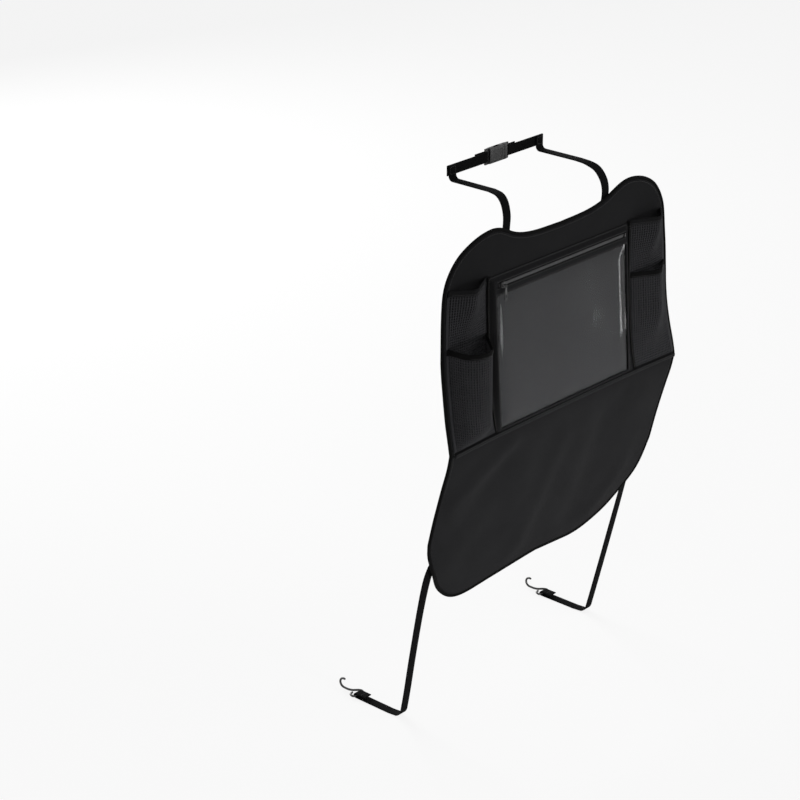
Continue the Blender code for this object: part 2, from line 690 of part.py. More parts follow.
def bar_turn(x, y, toward, radius, tail):
    """Path of a strap that comes along X, turns round an upright bar and lies back on itself."""
    points = []
    for k in range(9):
        a = k / 8 * math.pi
        points.append(np.array((x + toward * radius * math.sin(a), y - radius * math.cos(a), CROSS_Z)))
    points.append(np.array((x - toward * tail, y + radius, CROSS_Z)))
    return points


def make_cross_strap():
    """The strap round the headrest posts, closed by a side-release buckle."""
    bar_y = CROSS_Y + BAR_TURN
    reach = LOOP_HALF_WIDTH + STRAP_WIDTH / 2 + CROSS_OVERHANG
    socket_bar = LOOP_MIDDLE_X - SOCKET_LENGTH / 2 - SOCKET_BAR
    plug_bar = LOOP_MIDDLE_X + SOCKET_LENGTH / 2 + PLUG_BAR
    for toward, word, bar_x in ((1, "left", socket_bar), (-1, "right", plug_bar)):
        outer = LOOP_MIDDLE_X - toward * reach
        path = [np.array((x, CROSS_Y, CROSS_Z)) for x in spaced(outer, bar_x, 5)[:-1]]
        path += bar_turn(bar_x, bar_y, toward, BAR_TURN, BAR_TAIL)
        ribbon(f"cross_strap_{word}", path, STRAP_WIDTH, WEB, (0, 0, 1), WEBBING)
    middle = LOOP_MIDDLE_X + BUCKLE_OFFSET
    make_socket(middle, bar_y, socket_bar)
    make_plug(middle + SOCKET_LENGTH / 2 + CLEAR, bar_y, plug_bar)


def make_socket(middle, bar_y, bar_x):
    """The buckle's socket: hollow, with a mouth at one end and a window on each side for a prong."""
    socket = box("buckle_female", (SOCKET_LENGTH, BUCKLE_DEPTH, BUCKLE_WIDTH),
                 (middle, bar_y, CROSS_Z), PLASTIC, SOCKET_ROUNDING)
    bracket(socket, "socket", bar_x, bar_y, 1)
    mouth_x = middle + SOCKET_LENGTH / 2 - MOUTH[0] / 2 + MOUTH_INSET
    combine(socket, cutter("buckle_mouth", MOUTH, (mouth_x, bar_y, CROSS_Z)), "DIFFERENCE")
    for sign in (-1, 1):
        notch = cutter("buckle_notch", NOTCH, (middle + NOTCH_OFFSET, bar_y, CROSS_Z + sign * BUCKLE_WIDTH / 2))
        combine(socket, notch, "DIFFERENCE")


def make_plug(start, bar_y, bar_x):
    """The buckle's plug: a tongue between two springy prongs."""
    plug = box("buckle_male", (PLUG_LENGTH, BUCKLE_DEPTH, BUCKLE_WIDTH),
               (start + PLUG_LENGTH / 2, bar_y, CROSS_Z), PLASTIC, PLUG_ROUNDING)
    bracket(plug, "plug", bar_x, bar_y, -1)
    tongue_x = start + PRONG_ROOT - TONGUE[0] / 2
    combine(plug, cutter("buckle_tongue", TONGUE, (tongue_x, bar_y, CROSS_Z)), "UNION")
    prong_x = start + 2 * PRONG_ROOT - PRONG[0] / 2
    for sign in (-1, 1):
        prong = cutter("buckle_prong", PRONG, (prong_x, bar_y, CROSS_Z + sign * PRONG_Z))
        combine(plug, prong, "UNION")


def bracket(body, word, bar_x, bar_y, toward):
    """The bar that a strap turns round, carried by two arms on a buckle half."""
    frame = cutter(f"{word}_bracket", (*BRACKET, BUCKLE_WIDTH),
                   (bar_x + toward * (BRACKET[0] / 2 - BRACKET_BAR), bar_y, CROSS_Z))
    slot = cutter(f"{word}_slot", (BRACKET_SLOT, BUCKLE_DEPTH, STRAP_WIDTH + 2 * SLOT_CLEAR),
                  (bar_x + toward * (SLOT_OFFSET + BRACKET_SLOT / 2), bar_y, CROSS_Z))
    combine(frame, slot, "DIFFERENCE")
    combine(body, frame, "UNION")


def make_lower_straps():
    """Elastic straps from the panel's lower corners, down and forward under the seat, with wire hooks."""
    patch_y = PANEL_THICKNESS / 2 + LOWER_CLEAR + CLOTH / 2
    strap_y = patch_y + CLOTH / 2 + LOWER_CLEAR + WEB / 2

    def patch(x, z):
        return Vector((x, panel_y(x, z) + patch_y, z))

    for side, word in ((-1, "left"), (1, "right")):
        top_x = side * LOWER_TOP_X
        across = spaced(top_x - LOWER_PATCH_HALF, top_x + LOWER_PATCH_HALF, 3)
        sheet(f"lower_strap_patch_{word}", across, spaced(*LOWER_PATCH_Z, 4), patch, CLOTH, POCKET)
        points = [(top_x, panel_y(top_x, z) + strap_y, z) for z in LOWER_SEWN_Z]
        points += [(top_x - side * inward, y, z) for inward, y, z in LOWER_DROP]
        path = smooth_path(points, 3)
        bend_x, bend_y, bend_z = points[-1]
        for k in range(1, 7):
            a = k / 6 * LOWER_BEND_TURN
            path.append(np.array((bend_x, bend_y + LOWER_BEND * (1 - math.cos(a)) + LOWER_SAG[0] * k / 6,
                                  bend_z - LOWER_BEND * math.sin(a) - LOWER_SAG[1] * k / 6)))
        flat_z = float(path[-1][2]) - LOWER_FLAT_DROP
        path += [np.array((bend_x, y, flat_z)) for y in LOWER_FLAT_Y]
        turn = HOOK_WIRE + CLEAR + WEB / 2
        for k in range(9):
            a = k / 8 * math.pi
            path.append(np.array((bend_x, LOWER_END_Y + turn * math.sin(a), flat_z + turn - turn * math.cos(a))))
        path.append(np.array((bend_x, LOWER_END_Y - LOWER_TAIL, flat_z + 2 * turn)))
        low = LOWER_SEWN_Z[-1]
        rise = panel_y(top_x + LEAN_REACH, low) - panel_y(top_x - LEAN_REACH, low)
        ribbon(f"lower_strap_{word}", path, LOWER_WIDTH, WEB, (1, 0, 0), WEBBING, lean=rise / (2 * LEAN_REACH))
        make_hook(f"lower_hook_{word}", bend_x, flat_z + turn)


def make_hook(name, middle_x, z):
    """A bent wire: an eye as wide as its strap, a shank, and the hook."""
    side, corner = LOWER_WIDTH / 2 + HOOK_SIDE, HOOK_CORNER
    neck = LOWER_END_Y + HOOK_NECK
    eye = [(-side, LOWER_END_Y + corner), (corner - side, LOWER_END_Y), (side - corner, LOWER_END_Y),
           (side, LOWER_END_Y + corner), (side - corner, LOWER_END_Y + HOOK_SHOULDER)]
    route = [(-corner, neck - HOOK_NECK_GAP), (corner - side, LOWER_END_Y + HOOK_SHOULDER), *eye, (corner, neck)]
    points = [(middle_x + x, y, z) for x, y in route]
    points += [(middle_x, neck + reach, z) for reach in HOOK_SHANK]
    for k in range(1, 9):
        a = k / 8 * HOOK_SWEEP
        points.append((middle_x, points[9][1] + HOOK_RADIUS * math.sin(a), z + HOOK_RADIUS * (1 - math.cos(a))))
    wire(name, points, HOOK_WIRE, METAL)


def shift_to_origin():
    """Move every piece, so that the origin is in the strap loop on the top of the seat."""
    for thing in [*PARTS.objects, *CUTTERS.objects]:
        thing.location = Vector(thing.location) + Vector(FRAME_SHIFT)


clear_scene()
PARTS = collection("car_seat_protector")
CUTTERS = collection("cutters")
FABRIC = material("panel_fabric", (0.030, 0.030, 0.031), 0.85)
POCKET = material("pocket_fabric", (0.022, 0.022, 0.023), 0.8)
BINDING = material("binding", (0.006, 0.006, 0.006), 0.7)
NET = material("net", (0.010, 0.010, 0.010), 0.75)
WEBBING = material("webbing", (0.005, 0.005, 0.005), 0.7)
FILM_SKIN = material("film", (0.8, 0.8, 0.8), 0.12, alpha=0.35)
COIL = material("zip_coil", (0.05, 0.05, 0.05), 0.45)
METAL = material("metal", (0.03, 0.03, 0.03), 0.35, metallic=0.8)
PLASTIC = material("buckle_plastic", (0.008, 0.008, 0.008), 0.4)
GUIDE = material("guide", (0.5, 0.5, 0.5), 0.5)
make_panel()
make_tablet_pocket()
make_zip()
make_pockets()
make_tapes()
make_upper_straps()
make_cross_strap()
make_lower_straps()
shift_to_origin()
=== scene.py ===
"""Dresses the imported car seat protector: cloth, nets, zip, straps and buckle, with a camera and soft light.

Places are worked out in drawing coordinates, whose origin is the middle of the tablet pocket: X runs
across the seat, -Y points away from it and +Z is up. SHIFT moves a point from there into the frame of the
CAD model.
"""

from __future__ import annotations

import json
import logging
import math
from collections.abc import Callable, Sequence
from dataclasses import dataclass, field
from enum import Enum

import bmesh
import bpy
import numpy as np
from mathutils import Matrix, Vector

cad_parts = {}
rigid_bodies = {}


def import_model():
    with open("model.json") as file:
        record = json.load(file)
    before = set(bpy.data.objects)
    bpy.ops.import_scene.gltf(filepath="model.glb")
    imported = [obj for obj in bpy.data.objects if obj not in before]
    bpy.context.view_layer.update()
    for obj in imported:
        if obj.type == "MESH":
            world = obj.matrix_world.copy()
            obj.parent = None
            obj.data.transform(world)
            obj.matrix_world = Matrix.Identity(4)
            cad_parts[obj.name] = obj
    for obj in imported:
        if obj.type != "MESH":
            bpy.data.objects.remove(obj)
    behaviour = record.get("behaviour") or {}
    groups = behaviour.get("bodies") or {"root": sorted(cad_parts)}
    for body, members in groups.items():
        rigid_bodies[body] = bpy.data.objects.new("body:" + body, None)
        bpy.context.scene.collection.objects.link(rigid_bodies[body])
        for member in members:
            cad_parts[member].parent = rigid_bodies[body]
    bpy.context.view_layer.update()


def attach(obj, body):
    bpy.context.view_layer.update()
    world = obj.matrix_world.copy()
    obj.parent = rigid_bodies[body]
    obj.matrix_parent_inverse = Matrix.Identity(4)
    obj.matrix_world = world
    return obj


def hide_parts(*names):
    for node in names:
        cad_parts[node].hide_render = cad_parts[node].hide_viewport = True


LOG = logging.getLogger("protector")

MM = 0.001
SHIFT = Vector((0.0, -0.075, -0.2178))
CLOTH_UV = "cloth"
CLEAR = 0.4 * MM
FRONT = Vector((0.0, -1.0, 0.0))
WAVES_PER_METRE = 10 / math.pi

Place = Callable[[float, float], Vector]


class Body(Enum):
    """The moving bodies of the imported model."""

    PROTECTOR = "protector"
    SLIDER = "slider"
    PULL = "pull"


class Slot(Enum):
    """The record's material slots."""

    PANEL = "panel_fabric"
    POCKET = "pocket_fabric"
    BINDING = "binding"
    NET = "net"
    WEBBING = "webbing"
    FILM = "film"
    COIL = "coil"
    METAL = "metal"
    PLASTIC = "buckle_plastic"


def linear(code: str) -> tuple[float, float, float, float]:
    """Turns an sRGB colour into the linear one that a shader takes.

    Args:
        code: Six hex digits.

    Returns:
        Red, green, blue and an alpha of 1.
    """
    parts = [int(code[i : i + 2], 16) / 255 for i in (0, 2, 4)]
    return (*[c / 12.92 if c <= 0.04045 else ((c + 0.055) / 1.055) ** 2.4 for c in parts], 1.0)


def feed(tree: bpy.types.NodeTree, node: bpy.types.Node, inputs: dict[str | int, object]) -> None:
    """Sets a node's inputs.

    Args:
        tree: The node tree.
        node: The node.
        inputs: For each input socket, a value or the output socket that is linked to it.
    """
    for name, value in inputs.items():
        if isinstance(value, bpy.types.NodeSocket):
            tree.links.new(value, node.inputs[name])
        else:
            node.inputs[name].default_value = value


def add_node(
    tree: bpy.types.NodeTree, kind: str, inputs: dict[str | int, object], **settings: object
) -> bpy.types.Node:
    """Adds one node.

    Args:
        tree: The node tree that gets it.
        kind: The node's type, without the leading ShaderNode.
        inputs: Its inputs, as `feed` takes them.
        **settings: The node's own settings.

    Returns:
        The new node.
    """
    node = tree.nodes.new("ShaderNode" + kind)
    for name, value in settings.items():
        setattr(node, name, value)
    feed(tree, node, inputs)
    return node


def spread(
    tree: bpy.types.NodeTree, noise: bpy.types.Node, low: float, high: float
) -> bpy.types.NodeSocket:
    """Maps a noise to the values between two, from the middle of its range, where most of it lies."""
    return add_node(tree, "MapRange", {"Value": noise.outputs["Fac"], "From Min": 0.3, "From Max": 0.7,
                                       "To Min": low, "To Max": high}).outputs[0]


def shaded(tree: bpy.types.NodeTree, code: str, level: bpy.types.NodeSocket) -> bpy.types.NodeSocket:
    """Multiplies an sRGB colour, given in hex digits, by a level that varies over the surface."""
    return add_node(tree, "VectorMath", {0: linear(code)[:3], "Scale": level}, operation="SCALE").outputs[0]


def fresh_material(name: str) -> tuple[bpy.types.Material, bpy.types.NodeTree, bpy.types.Node]:
    """Makes a material with nodes.

    Args:
        name: The material's name.

    Returns:
        The material, its tree and its Principled shader.
    """
    material = bpy.data.materials.new(name)
    material.use_nodes = True
    return material, material.node_tree, material.node_tree.nodes["Principled BSDF"]


@dataclass(frozen=True)
class Woven:
    """Cloth woven or knitted from two crossed sets of threads, which give it a fine dull grain.

    The threads follow the piece's own UV map, which is in metres. They are drawn coarser than the real
    ones, which are about 0.3 mm apart and wouldn't show.
    """

    name: str
    colour: str
    thread: float = 0.9 * MM
    stretch: float = 1.0
    slant: float = 0.0
    roughness: float = 0.85
    sheen: float = 0.01
    specular: float = 0.03
    relief: float = 0.10 * MM
    contrast: float = 0.30

    def make(self) -> bpy.types.Material:
        """Builds the material.

        Returns:
            The material, with its weave in colour and relief.
        """
        material, tree, shader = fresh_material(self.name)
        flat = add_node(tree, "UVMap", {}, uv_map=CLOTH_UV)
        turned = add_node(tree, "Mapping", {"Vector": flat.outputs[0], "Rotation": (0, 0, self.slant)})
        scale = 1 / (WAVES_PER_METRE * self.thread)
        warp, weft = (
            add_node(tree, "TexWave", {"Vector": turned.outputs[0], "Scale": scale * times,
                                       "Distortion": 0.6, "Detail": 1.0, "Detail Scale": 1.5},
                     bands_direction=way).outputs["Fac"]
            for way, times in (("X", 1.0), ("Y", self.stretch))
        )
        cross = add_node(tree, "Math", {0: warp, 1: weft}, operation="MULTIPLY")
        share = add_node(tree, "MapRange", {"Value": cross.outputs[0], "To Min": 1 - self.contrast,
                                            "To Max": 1 + self.contrast / 2})
        cloud = add_node(tree, "TexNoise", {"Vector": flat.outputs[0], "Scale": 22.0, "Detail": 4.0})
        level = add_node(tree, "Math", {0: share.outputs[0], 1: spread(tree, cloud, 0.93, 1.07)},
                         operation="MULTIPLY")
        bump = add_node(tree, "Bump", {"Height": cross.outputs[0], "Distance": self.relief,
                                       "Strength": 0.8})
        feed(tree, shader, {"Base Color": shaded(tree, self.colour, level.outputs[0]),
                            "Normal": bump.outputs[0], "Roughness": self.roughness,
                            "Sheen Weight": self.sheen, "Sheen Roughness": 0.45,
                            "Specular IOR Level": self.specular})
        return material


@dataclass(frozen=True)
class Moulded:
    """Plastic, or paint on metal: an even colour with a fine grain that breaks up the gloss."""

    name: str
    colour: str
    roughness: float
    grain: float = 0.5 * MM
    relief: float = 0.02 * MM
    coat: float = 0.0

    def make(self) -> bpy.types.Material:
        """Builds the material.

        Returns:
            The material, with grain and slightly rubbed patches on Object coordinates.
        """
        material, tree, shader = fresh_material(self.name)
        place = add_node(tree, "TexCoord", {}).outputs["Object"]
        grain = add_node(tree, "TexNoise", {"Vector": place, "Scale": 1 / self.grain, "Detail": 2.0})
        rubbed = add_node(tree, "TexNoise", {"Vector": place, "Scale": 90.0, "Detail": 3.0})
        bump = add_node(tree, "Bump", {"Height": grain.outputs["Fac"], "Distance": self.relief,
                                       "Strength": 0.5})
        feed(tree, shader, {"Base Color": shaded(tree, self.colour, spread(tree, rubbed, 0.92, 1.10)),
                            "Roughness": spread(tree, rubbed, self.roughness * 0.85, self.roughness * 1.15),
                            "Normal": bump.outputs[0], "Coat Weight": self.coat})
        return material


@dataclass(frozen=True)
class ClearFilm:
    """Soft clear vinyl, calendered: glassy, with faint ripples that bend what it reflects.

    Lamps shine straight through it, as they do through a thin film, so the cloth behind it isn't dark. Its
    IOR is below vinyl's 1.53, because the cloth shows through the real film more than the surround does
    off it.
    """

    name: str
    colour: str
    roughness: float = 0.05
    bend: float = 1.18

    def make(self) -> bpy.types.Material:
        """Builds the material.

        Returns:
            The material.
        """
        material, tree, shader = fresh_material(self.name)
        place = add_node(tree, "TexCoord", {}).outputs["Object"]
        ripple = add_node(tree, "TexNoise", {"Vector": place, "Scale": 14.0, "Detail": 1.0})
        bump = add_node(tree, "Bump", {"Height": ripple.outputs["Fac"], "Distance": 1.6 * MM,
                                       "Strength": 0.5})
        feed(tree, shader, {"Normal": bump.outputs[0], "Base Color": linear(self.colour),
                            "Roughness": self.roughness, "IOR": self.bend, "Transmission Weight": 1.0})
        through = add_node(tree, "BsdfTransparent", {"Color": linear(self.colour)})
        path = add_node(tree, "LightPath", {})
        mix = add_node(tree, "MixShader", {0: path.outputs["Is Shadow Ray"], 1: shader.outputs[0],
                                           2: through.outputs[0]})
        tree.links.new(mix.outputs[0], tree.nodes["Material Output"].inputs["Surface"])
        return material


@dataclass(frozen=True)
class Finish:
    """A material as it goes on a piece, with the record's slot for it."""

    material: bpy.types.Material
    slot: Slot


class Finishes:
    """All finishes of the object, each made once."""

    def __init__(self) -> None:
        """Makes the materials."""
        panel = Woven("panel polyester, plain weave", "212122", sheen=0.015).make()
        pocket = Woven("pocket polyester, plain weave", "222223", thread=0.8 * MM)
        hem = Woven("pocket hem, plain weave", "1B1B1C", thread=0.8 * MM)
        tape = Woven("zip tape, herringbone", "141414", thread=0.7 * MM, slant=0.6)
        yarn = Woven("knitted net yarn", "363638", thread=0.5 * MM, stretch=0.5, roughness=0.7)
        dull = {"sheen": 0.0, "specular": 0.05}
        ribbed = {**dull, "relief": 0.2 * MM}
        binding = Woven("bias binding", "0B0B0B", slant=math.pi / 4, **dull)
        webbing = Woven("polyester webbing", "0A0A0B", thread=1.3 * MM, stretch=1.8, **ribbed)
        elastic = Woven("elastic strap, ribbed", "0A0A0B", thread=1.1 * MM, stretch=0.6, **ribbed)
        thread = Moulded("bonded polyester thread", "101010", 0.55, grain=0.3 * MM, relief=0.05 * MM)
        coil = Moulded("zip coil, polyester monofilament", "4E4E4F", 0.35, grain=0.4 * MM)
        metal = Moulded("slider, enamelled zinc", "111112", 0.45, coat=0.1)
        wire = Moulded("hook, vinyl on steel wire", "0C0C0C", 0.38, coat=0.2)
        acetal = Moulded("buckle, moulded acetal", "0C0C0D", 0.42, grain=0.35 * MM, relief=0.04 * MM)
        film = ClearFilm("clear vinyl film", "F2F3F4")
        self.panel, self.waist = Finish(panel, Slot.PANEL), Finish(panel, Slot.BINDING)
        self.pocket = Finish(pocket.make(), Slot.POCKET)
        self.binding, self.hem, self.tape, self.thread = (
            Finish(look.make(), Slot.BINDING) for look in (binding, hem, tape, thread)
        )
        self.yarn = Finish(yarn.make(), Slot.NET)
        self.webbing, self.elastic = (Finish(look.make(), Slot.WEBBING) for look in (webbing, elastic))
        self.coil = Finish(coil.make(), Slot.COIL)
        self.metal, self.wire = (Finish(look.make(), Slot.METAL) for look in (metal, wire))
        self.acetal = Finish(acetal.make(), Slot.PLASTIC)
        self.film = Finish(film.make(), Slot.FILM)


class SmoothCurve:
    """A smooth value along a line, through knots with rising positions."""

    def __init__(self, knots: Sequence[tuple[float, float]]) -> None:
        """Takes the (position, value) knots.

        Args:
            knots: At least two knots.
        """
        self.where = [k[0] for k in knots]
        self.value = [k[1] for k in knots]
        self.slope = [float(s) for s in np.gradient(np.array(self.value), np.array(self.where))]

    def at(self, position: float) -> float:
        """The value at a position.

        Args:
            position: The position, which is held at the end knots.

        Returns:
            The value.
        """
        where, value, slope = self.where, self.value, self.slope
        position = min(max(position, where[0]), where[-1])
        i = 0
        while i < len(where) - 2 and position >= where[i + 1]:
            i += 1
        span = where[i + 1] - where[i]
        t = (position - where[i]) / span
        near = (2 * t**3 - 3 * t**2 + 1) * value[i] + (t**3 - 2 * t**2 + t) * span * slope[i]
        return near + (3 * t**2 - 2 * t**3) * value[i + 1] + (t**3 - t**2) * span * slope[i + 1]


def smooth_path(points: Sequence[Sequence[float]], steps: int) -> list[Vector]:
    """A Catmull-Rom curve.

    Args:
        points: The points that it goes through.
        steps: Stretches between two of them.

    Returns:
        The points of the curve.
    """
    p = [np.array(q, dtype=float) for q in points]
    p = [2 * p[0] - p[1], *p, 2 * p[-1] - p[-2]]
    path = []
    for a, b, c, d in zip(p, p[1:], p[2:], p[3:]):
        for k in range(steps):
            t = k / steps
            path.append(0.5 * (2 * b + (c - a) * t + (2 * a - 5 * b + 4 * c - d) * t**2
                               + (3 * b - a - 3 * c + d) * t**3))
    return [Vector(q) for q in [*path, p[-2]]]


def ease(t: float) -> float:
    """A smooth step from 0 to 1."""
    t = min(max(t, 0.0), 1.0)
    return t * t * (3 - 2 * t)


def spaced(start: float, stop: float, count: int) -> list[float]:
    """Evenly spaced values, both ends included."""
    return [float(v) for v in np.linspace(start, stop, count)]


def evenly(path: Sequence[Vector], step: float) -> list[Vector]:
    """Points at even steps along a path.

    Args:
        path: The path.
        step: The length of a step, which is fitted so that a whole number fills the path.

    Returns:
        The points, both ends included.
    """
    run = np.concatenate(([0.0], np.cumsum([(b - a).length for a, b in zip(path, path[1:])])))
    at = np.linspace(0.0, run[-1], max(2, round(run[-1] / step) + 1))
    columns = [np.interp(at, run, [p[i] for p in path]) for i in range(3)]
    return [Vector(q) for q in zip(*columns)]


def arc(angle: float, steps: int, spot: Callable[[float, float], Vector]) -> list[Vector]:
    """Spots round an arc.

    Args:
        angle: The whole turn, in radians.
        steps: Its steps.
        spot: Gives a spot for the sine and the cosine of the turn so far.

    Returns:
        The spots, both ends included.
    """
    return [spot(math.sin(a), math.cos(a)) for a in spaced(0.0, angle, steps + 1)]


def tangents(path: Sequence[Vector], closed: bool) -> list[Vector]:
    """The unit directions of a path.

    Args:
        path: The path.
        closed: Whether it is a ring.

    Returns:
        A direction for each of its points.
    """
    before = [path[0], *path[:-1]]
    after = [*path[1:], path[-1]]
    if closed:
        before[0], after[-1] = path[-1], path[0]
    return [(b - a).normalized() for a, b in zip(before, after)]


def dress(piece: bpy.types.Object, finish: Finish, body: Body, angle: float = 32.0) -> None:
    """Gives a piece its finish and its body.

    Args:
        piece: The piece.
        finish: Its finish.
        body: The body that it rides on.
        angle: Edges sharper than this many degrees stay sharp, and the rest is smooth.
    """
    mesh = piece.data
    mesh.materials.clear()
    mesh.materials.append(finish.material)
    mesh.polygons.foreach_set("use_smooth", [True] * len(mesh.polygons))
    mesh.set_sharp_from_angle(angle=math.radians(angle))
    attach(piece, body.value)


def new_piece(
    name: str, bm: bmesh.types.BMesh, finish: Finish, body: Body = Body.PROTECTOR, angle: float = 40.0
) -> bpy.types.Object:
    """Ends the building of a mesh.

    Args:
        name: The piece's name.
        bm: Its mesh, placed in the frame of the CAD model.
        finish: Its finish.
        body: The body that it rides on.
        angle: Edges sharper than this many degrees stay sharp.

    Returns:
        The piece.
    """
    mesh = bpy.data.meshes.new(name)
    bm.to_mesh(mesh)
    bm.free()
    piece = bpy.data.objects.new(name, mesh)
    bpy.context.scene.collection.objects.link(piece)
    dress(piece, finish, body, angle)
    return piece


def cloth_sheet(
    name: str,
    across: Sequence[float],
    up: Sequence[float],
    place: Place,
    thickness: float,
    finish: Finish,
    size: tuple[float, float] = (1.0, 1.0),
    skip: Callable[[int, int], bool] | None = None,
) -> bpy.types.Object:
    """Makes a sheet of cloth from a grid.

    Args:
        name: The piece's name.
        across: The grid's positions across.
        up: The grid's positions up.
        place: Gives the point, in drawing coordinates, for a position across and up.
        thickness: The cloth's thickness.
        finish: Its finish.
        size: What turns positions across and up into metres for the UV map.
        skip: Says which cells of the grid are left open.

    Returns:
        The sheet.
    """
    bm = bmesh.new()
    layer = bm.loops.layers.uv.new(CLOTH_UV)
    verts = [[bm.verts.new(place(x, z) + SHIFT) for x in across] for z in up]
    for j in range(len(up) - 1):
        for i in range(len(across) - 1):
            if skip and skip(i, j):
                continue
            corners = ((i, j), (i + 1, j), (i + 1, j + 1), (i, j + 1))
            face = bm.faces.new([verts[b][a] for a, b in corners])
            for loop, (a, b) in zip(face.loops, corners):
                loop[layer].uv = (across[a] * size[0], up[b] * size[1])
    loose = [v for v in bm.verts if not v.link_faces]
    bmesh.ops.delete(bm, geom=loose, context="VERTS")
    return thickened(name, bm, thickness, finish)


def thickened(name: str, bm: bmesh.types.BMesh, thickness: float, finish: Finish) -> bpy.types.Object:
    """Gives an open sheet its thickness, half to each side.

    Args:
        name: The piece's name.
        bm: The sheet.
        thickness: The whole thickness.
        finish: Its finish.

    Returns:
        The closed piece.
    """
    piece = new_piece(name, bm, finish)
    wall = piece.modifiers.new("wall", "SOLIDIFY")
    wall.thickness = thickness
    wall.offset = 0.0
    wall.use_even_offset = True
    apply_modifiers(piece)
    return piece


def select_alone(piece: bpy.types.Object) -> None:
    """Selects one piece and makes it active."""
    bpy.ops.object.select_all(action="DESELECT")
    piece.select_set(True)
    bpy.context.view_layer.objects.active = piece


def apply_modifiers(piece: bpy.types.Object) -> None:
    """Applies all modifiers of a piece."""
    select_alone(piece)
    for modifier in list(piece.modifiers):
        bpy.ops.object.modifier_apply(modifier=modifier.name)


class Strands:
    """Strands of thread, wire or webbing, gathered into one mesh."""

    def __init__(self) -> None:
        """Starts with no strands."""
        self.bm = bmesh.new()
        self.layer = self.bm.loops.layers.uv.new(CLOTH_UV)

    def sweep(
        self, path: Sequence[Vector], section: Sequence[tuple[float, float]], wide: Callable[[int], Vector],
        closed: bool = False, taper: float = 1.0,
    ) -> None:
        """Sweeps a closed section along a path.

        Args:
            path: The path, in drawing coordinates.
            section: The section's points, as distances along its width and its height.
            wide: Gives the direction of the section's width at a point of the path.
            closed: Whether the path is a ring.
            taper: The size of the section at both ends, against its middle.
        """
        last = len(path) - 1
        rings, runs, run = [], [], 0.0
        around = [0.0]
        for a, b in zip(section, [*section[1:], section[0]]):
            around.append(around[-1] + math.dist(a, b))
        for i, (point, along) in enumerate(zip(path, tangents(path, closed))):
            side = wide(i)
            side = (side - along * side.dot(along)).normalized()
            up = side.cross(along)
            size = taper if not closed and i in (0, last) else 1.0
            rings.append([self.bm.verts.new(point + SHIFT + side * (w * size) + up * (h * size))
                          for w, h in section])
            run += (point - path[i - 1]).length if i else 0.0
            runs.append(run)
        pairs = list(zip(range(last), range(1, last + 1)))
        if closed:
            pairs.append((last, 0))
            runs.append(run + (path[0] - path[-1]).length)
        sides = len(section)
        for a, b in pairs:
            far = runs[b] if b else runs[-1]
            for k in range(sides):
                n = (k + 1) % sides
                face = self.bm.faces.new((rings[a][k], rings[a][n], rings[b][n], rings[b][k]))
                for loop, uv in zip(face.loops, ((around[k], runs[a]), (around[k + 1], runs[a]),
                                                 (around[k + 1], far), (around[k], far))):
                    loop[self.layer].uv = uv
        if not closed:
            for ring in (rings[0][::-1], rings[-1]):
                face = self.bm.faces.new(ring)
                for loop in face.loops:
                    loop[self.layer].uv = (loop.vert.co.x, loop.vert.co.z)

    def tube(self, path: Sequence[Vector], radius: float, sides: int, closed: bool = False,
             taper: float = 1.0) -> None:
        """Adds a round strand along a path.

        Args:
            path: The path.
            radius: The strand's radius.
            sides: The number of its sides.
            closed: Whether the path is a ring.
            taper: The radius at both ends, against the middle.
        """
        angles = [2 * math.pi * k / sides for k in range(sides)]
        ring = [(radius * math.cos(a), radius * math.sin(a)) for a in angles]
        frames = []
        side = Vector((0.0, 1.0, 0.0))
        for along in tangents(path, closed):
            if abs(side.dot(along)) > 0.95:
                side = along.orthogonal()
            side = (side - along * side.dot(along)).normalized()
            frames.append(side)
        self.sweep(path, ring, lambda i: frames[i], closed, taper)

    def stitches(self, path: Sequence[Vector], out: Vector = FRONT, length: float = 2.6 * MM,
                 pitch: float = 3.6 * MM, radius: float = 0.28 * MM) -> None:
        """Sews a line of stitches along a path on a cloth's surface.

        Args:
            path: The sewn line.
            out: The direction out of the cloth.
            length: A stitch's length.
            pitch: The length of a stitch with its gap.
            radius: The thread's radius.
        """
        spots = evenly(path, pitch)
        for a, b in zip(spots, spots[1:]):
            middle, half = (a + b) / 2, (b - a) * (length / pitch / 2)
            rise = out.normalized() * radius * 0.7
            bow = [middle - half - rise, middle - half * 0.55 + rise, middle + half * 0.55 + rise,
                   middle + half - rise]
            self.tube(bow, radius, 6, taper=0.55)

    def seam(
        self, corners: Sequence[tuple[float, float]], place: Place, out: Vector = FRONT, spots: int = 40
    ) -> None:
        """Sews straight lines of stitches from corner to corner.

        Args:
            corners: The corners, as the two measures that `place` takes.
            place: Gives the sewn spot for those measures.
            out: The direction out of the cloth.
            spots: How many spots of each line are worked out.
        """
        for (a, b), (c, d) in zip(corners, corners[1:]):
            self.stitches([place(a + (c - a) * t, b + (d - b) * t) for t in spaced(0, 1, spots)], out)

    def piece(
        self, name: str, finish: Finish, body: Body = Body.PROTECTOR, angle: float = 50.0
    ) -> bpy.types.Object:
        """Ends the gathering.

        Args:
            name: The piece's name.
            finish: Its finish.
            body: The body that it rides on.
            angle: Edges sharper than this many degrees stay sharp.

        Returns:
            The piece.
        """
        bmesh.ops.recalc_face_normals(self.bm, faces=self.bm.faces)
        return new_piece(name, self.bm, finish, body, angle)


def flat_section(width: float, thickness: float) -> list[tuple[float, float]]:
    """The section of a flat strap.

    Args:
        width: Its width.
        thickness: Its thickness, over which both edges are round.

    Returns:
        The section's points.
    """
    radius = thickness / 2
    section = []
    for side, turn in ((1, -math.pi / 2), (-1, math.pi / 2)):
        for k in range(5):
            a = turn + k / 4 * math.pi
            section.append((side * (width / 2 - radius) + radius * math.cos(a), radius * math.sin(a)))
        for t in (0.33, 0.66):
            section.append((side * (width / 2 - radius) * (1 - 2 * t), side * radius))
    return section


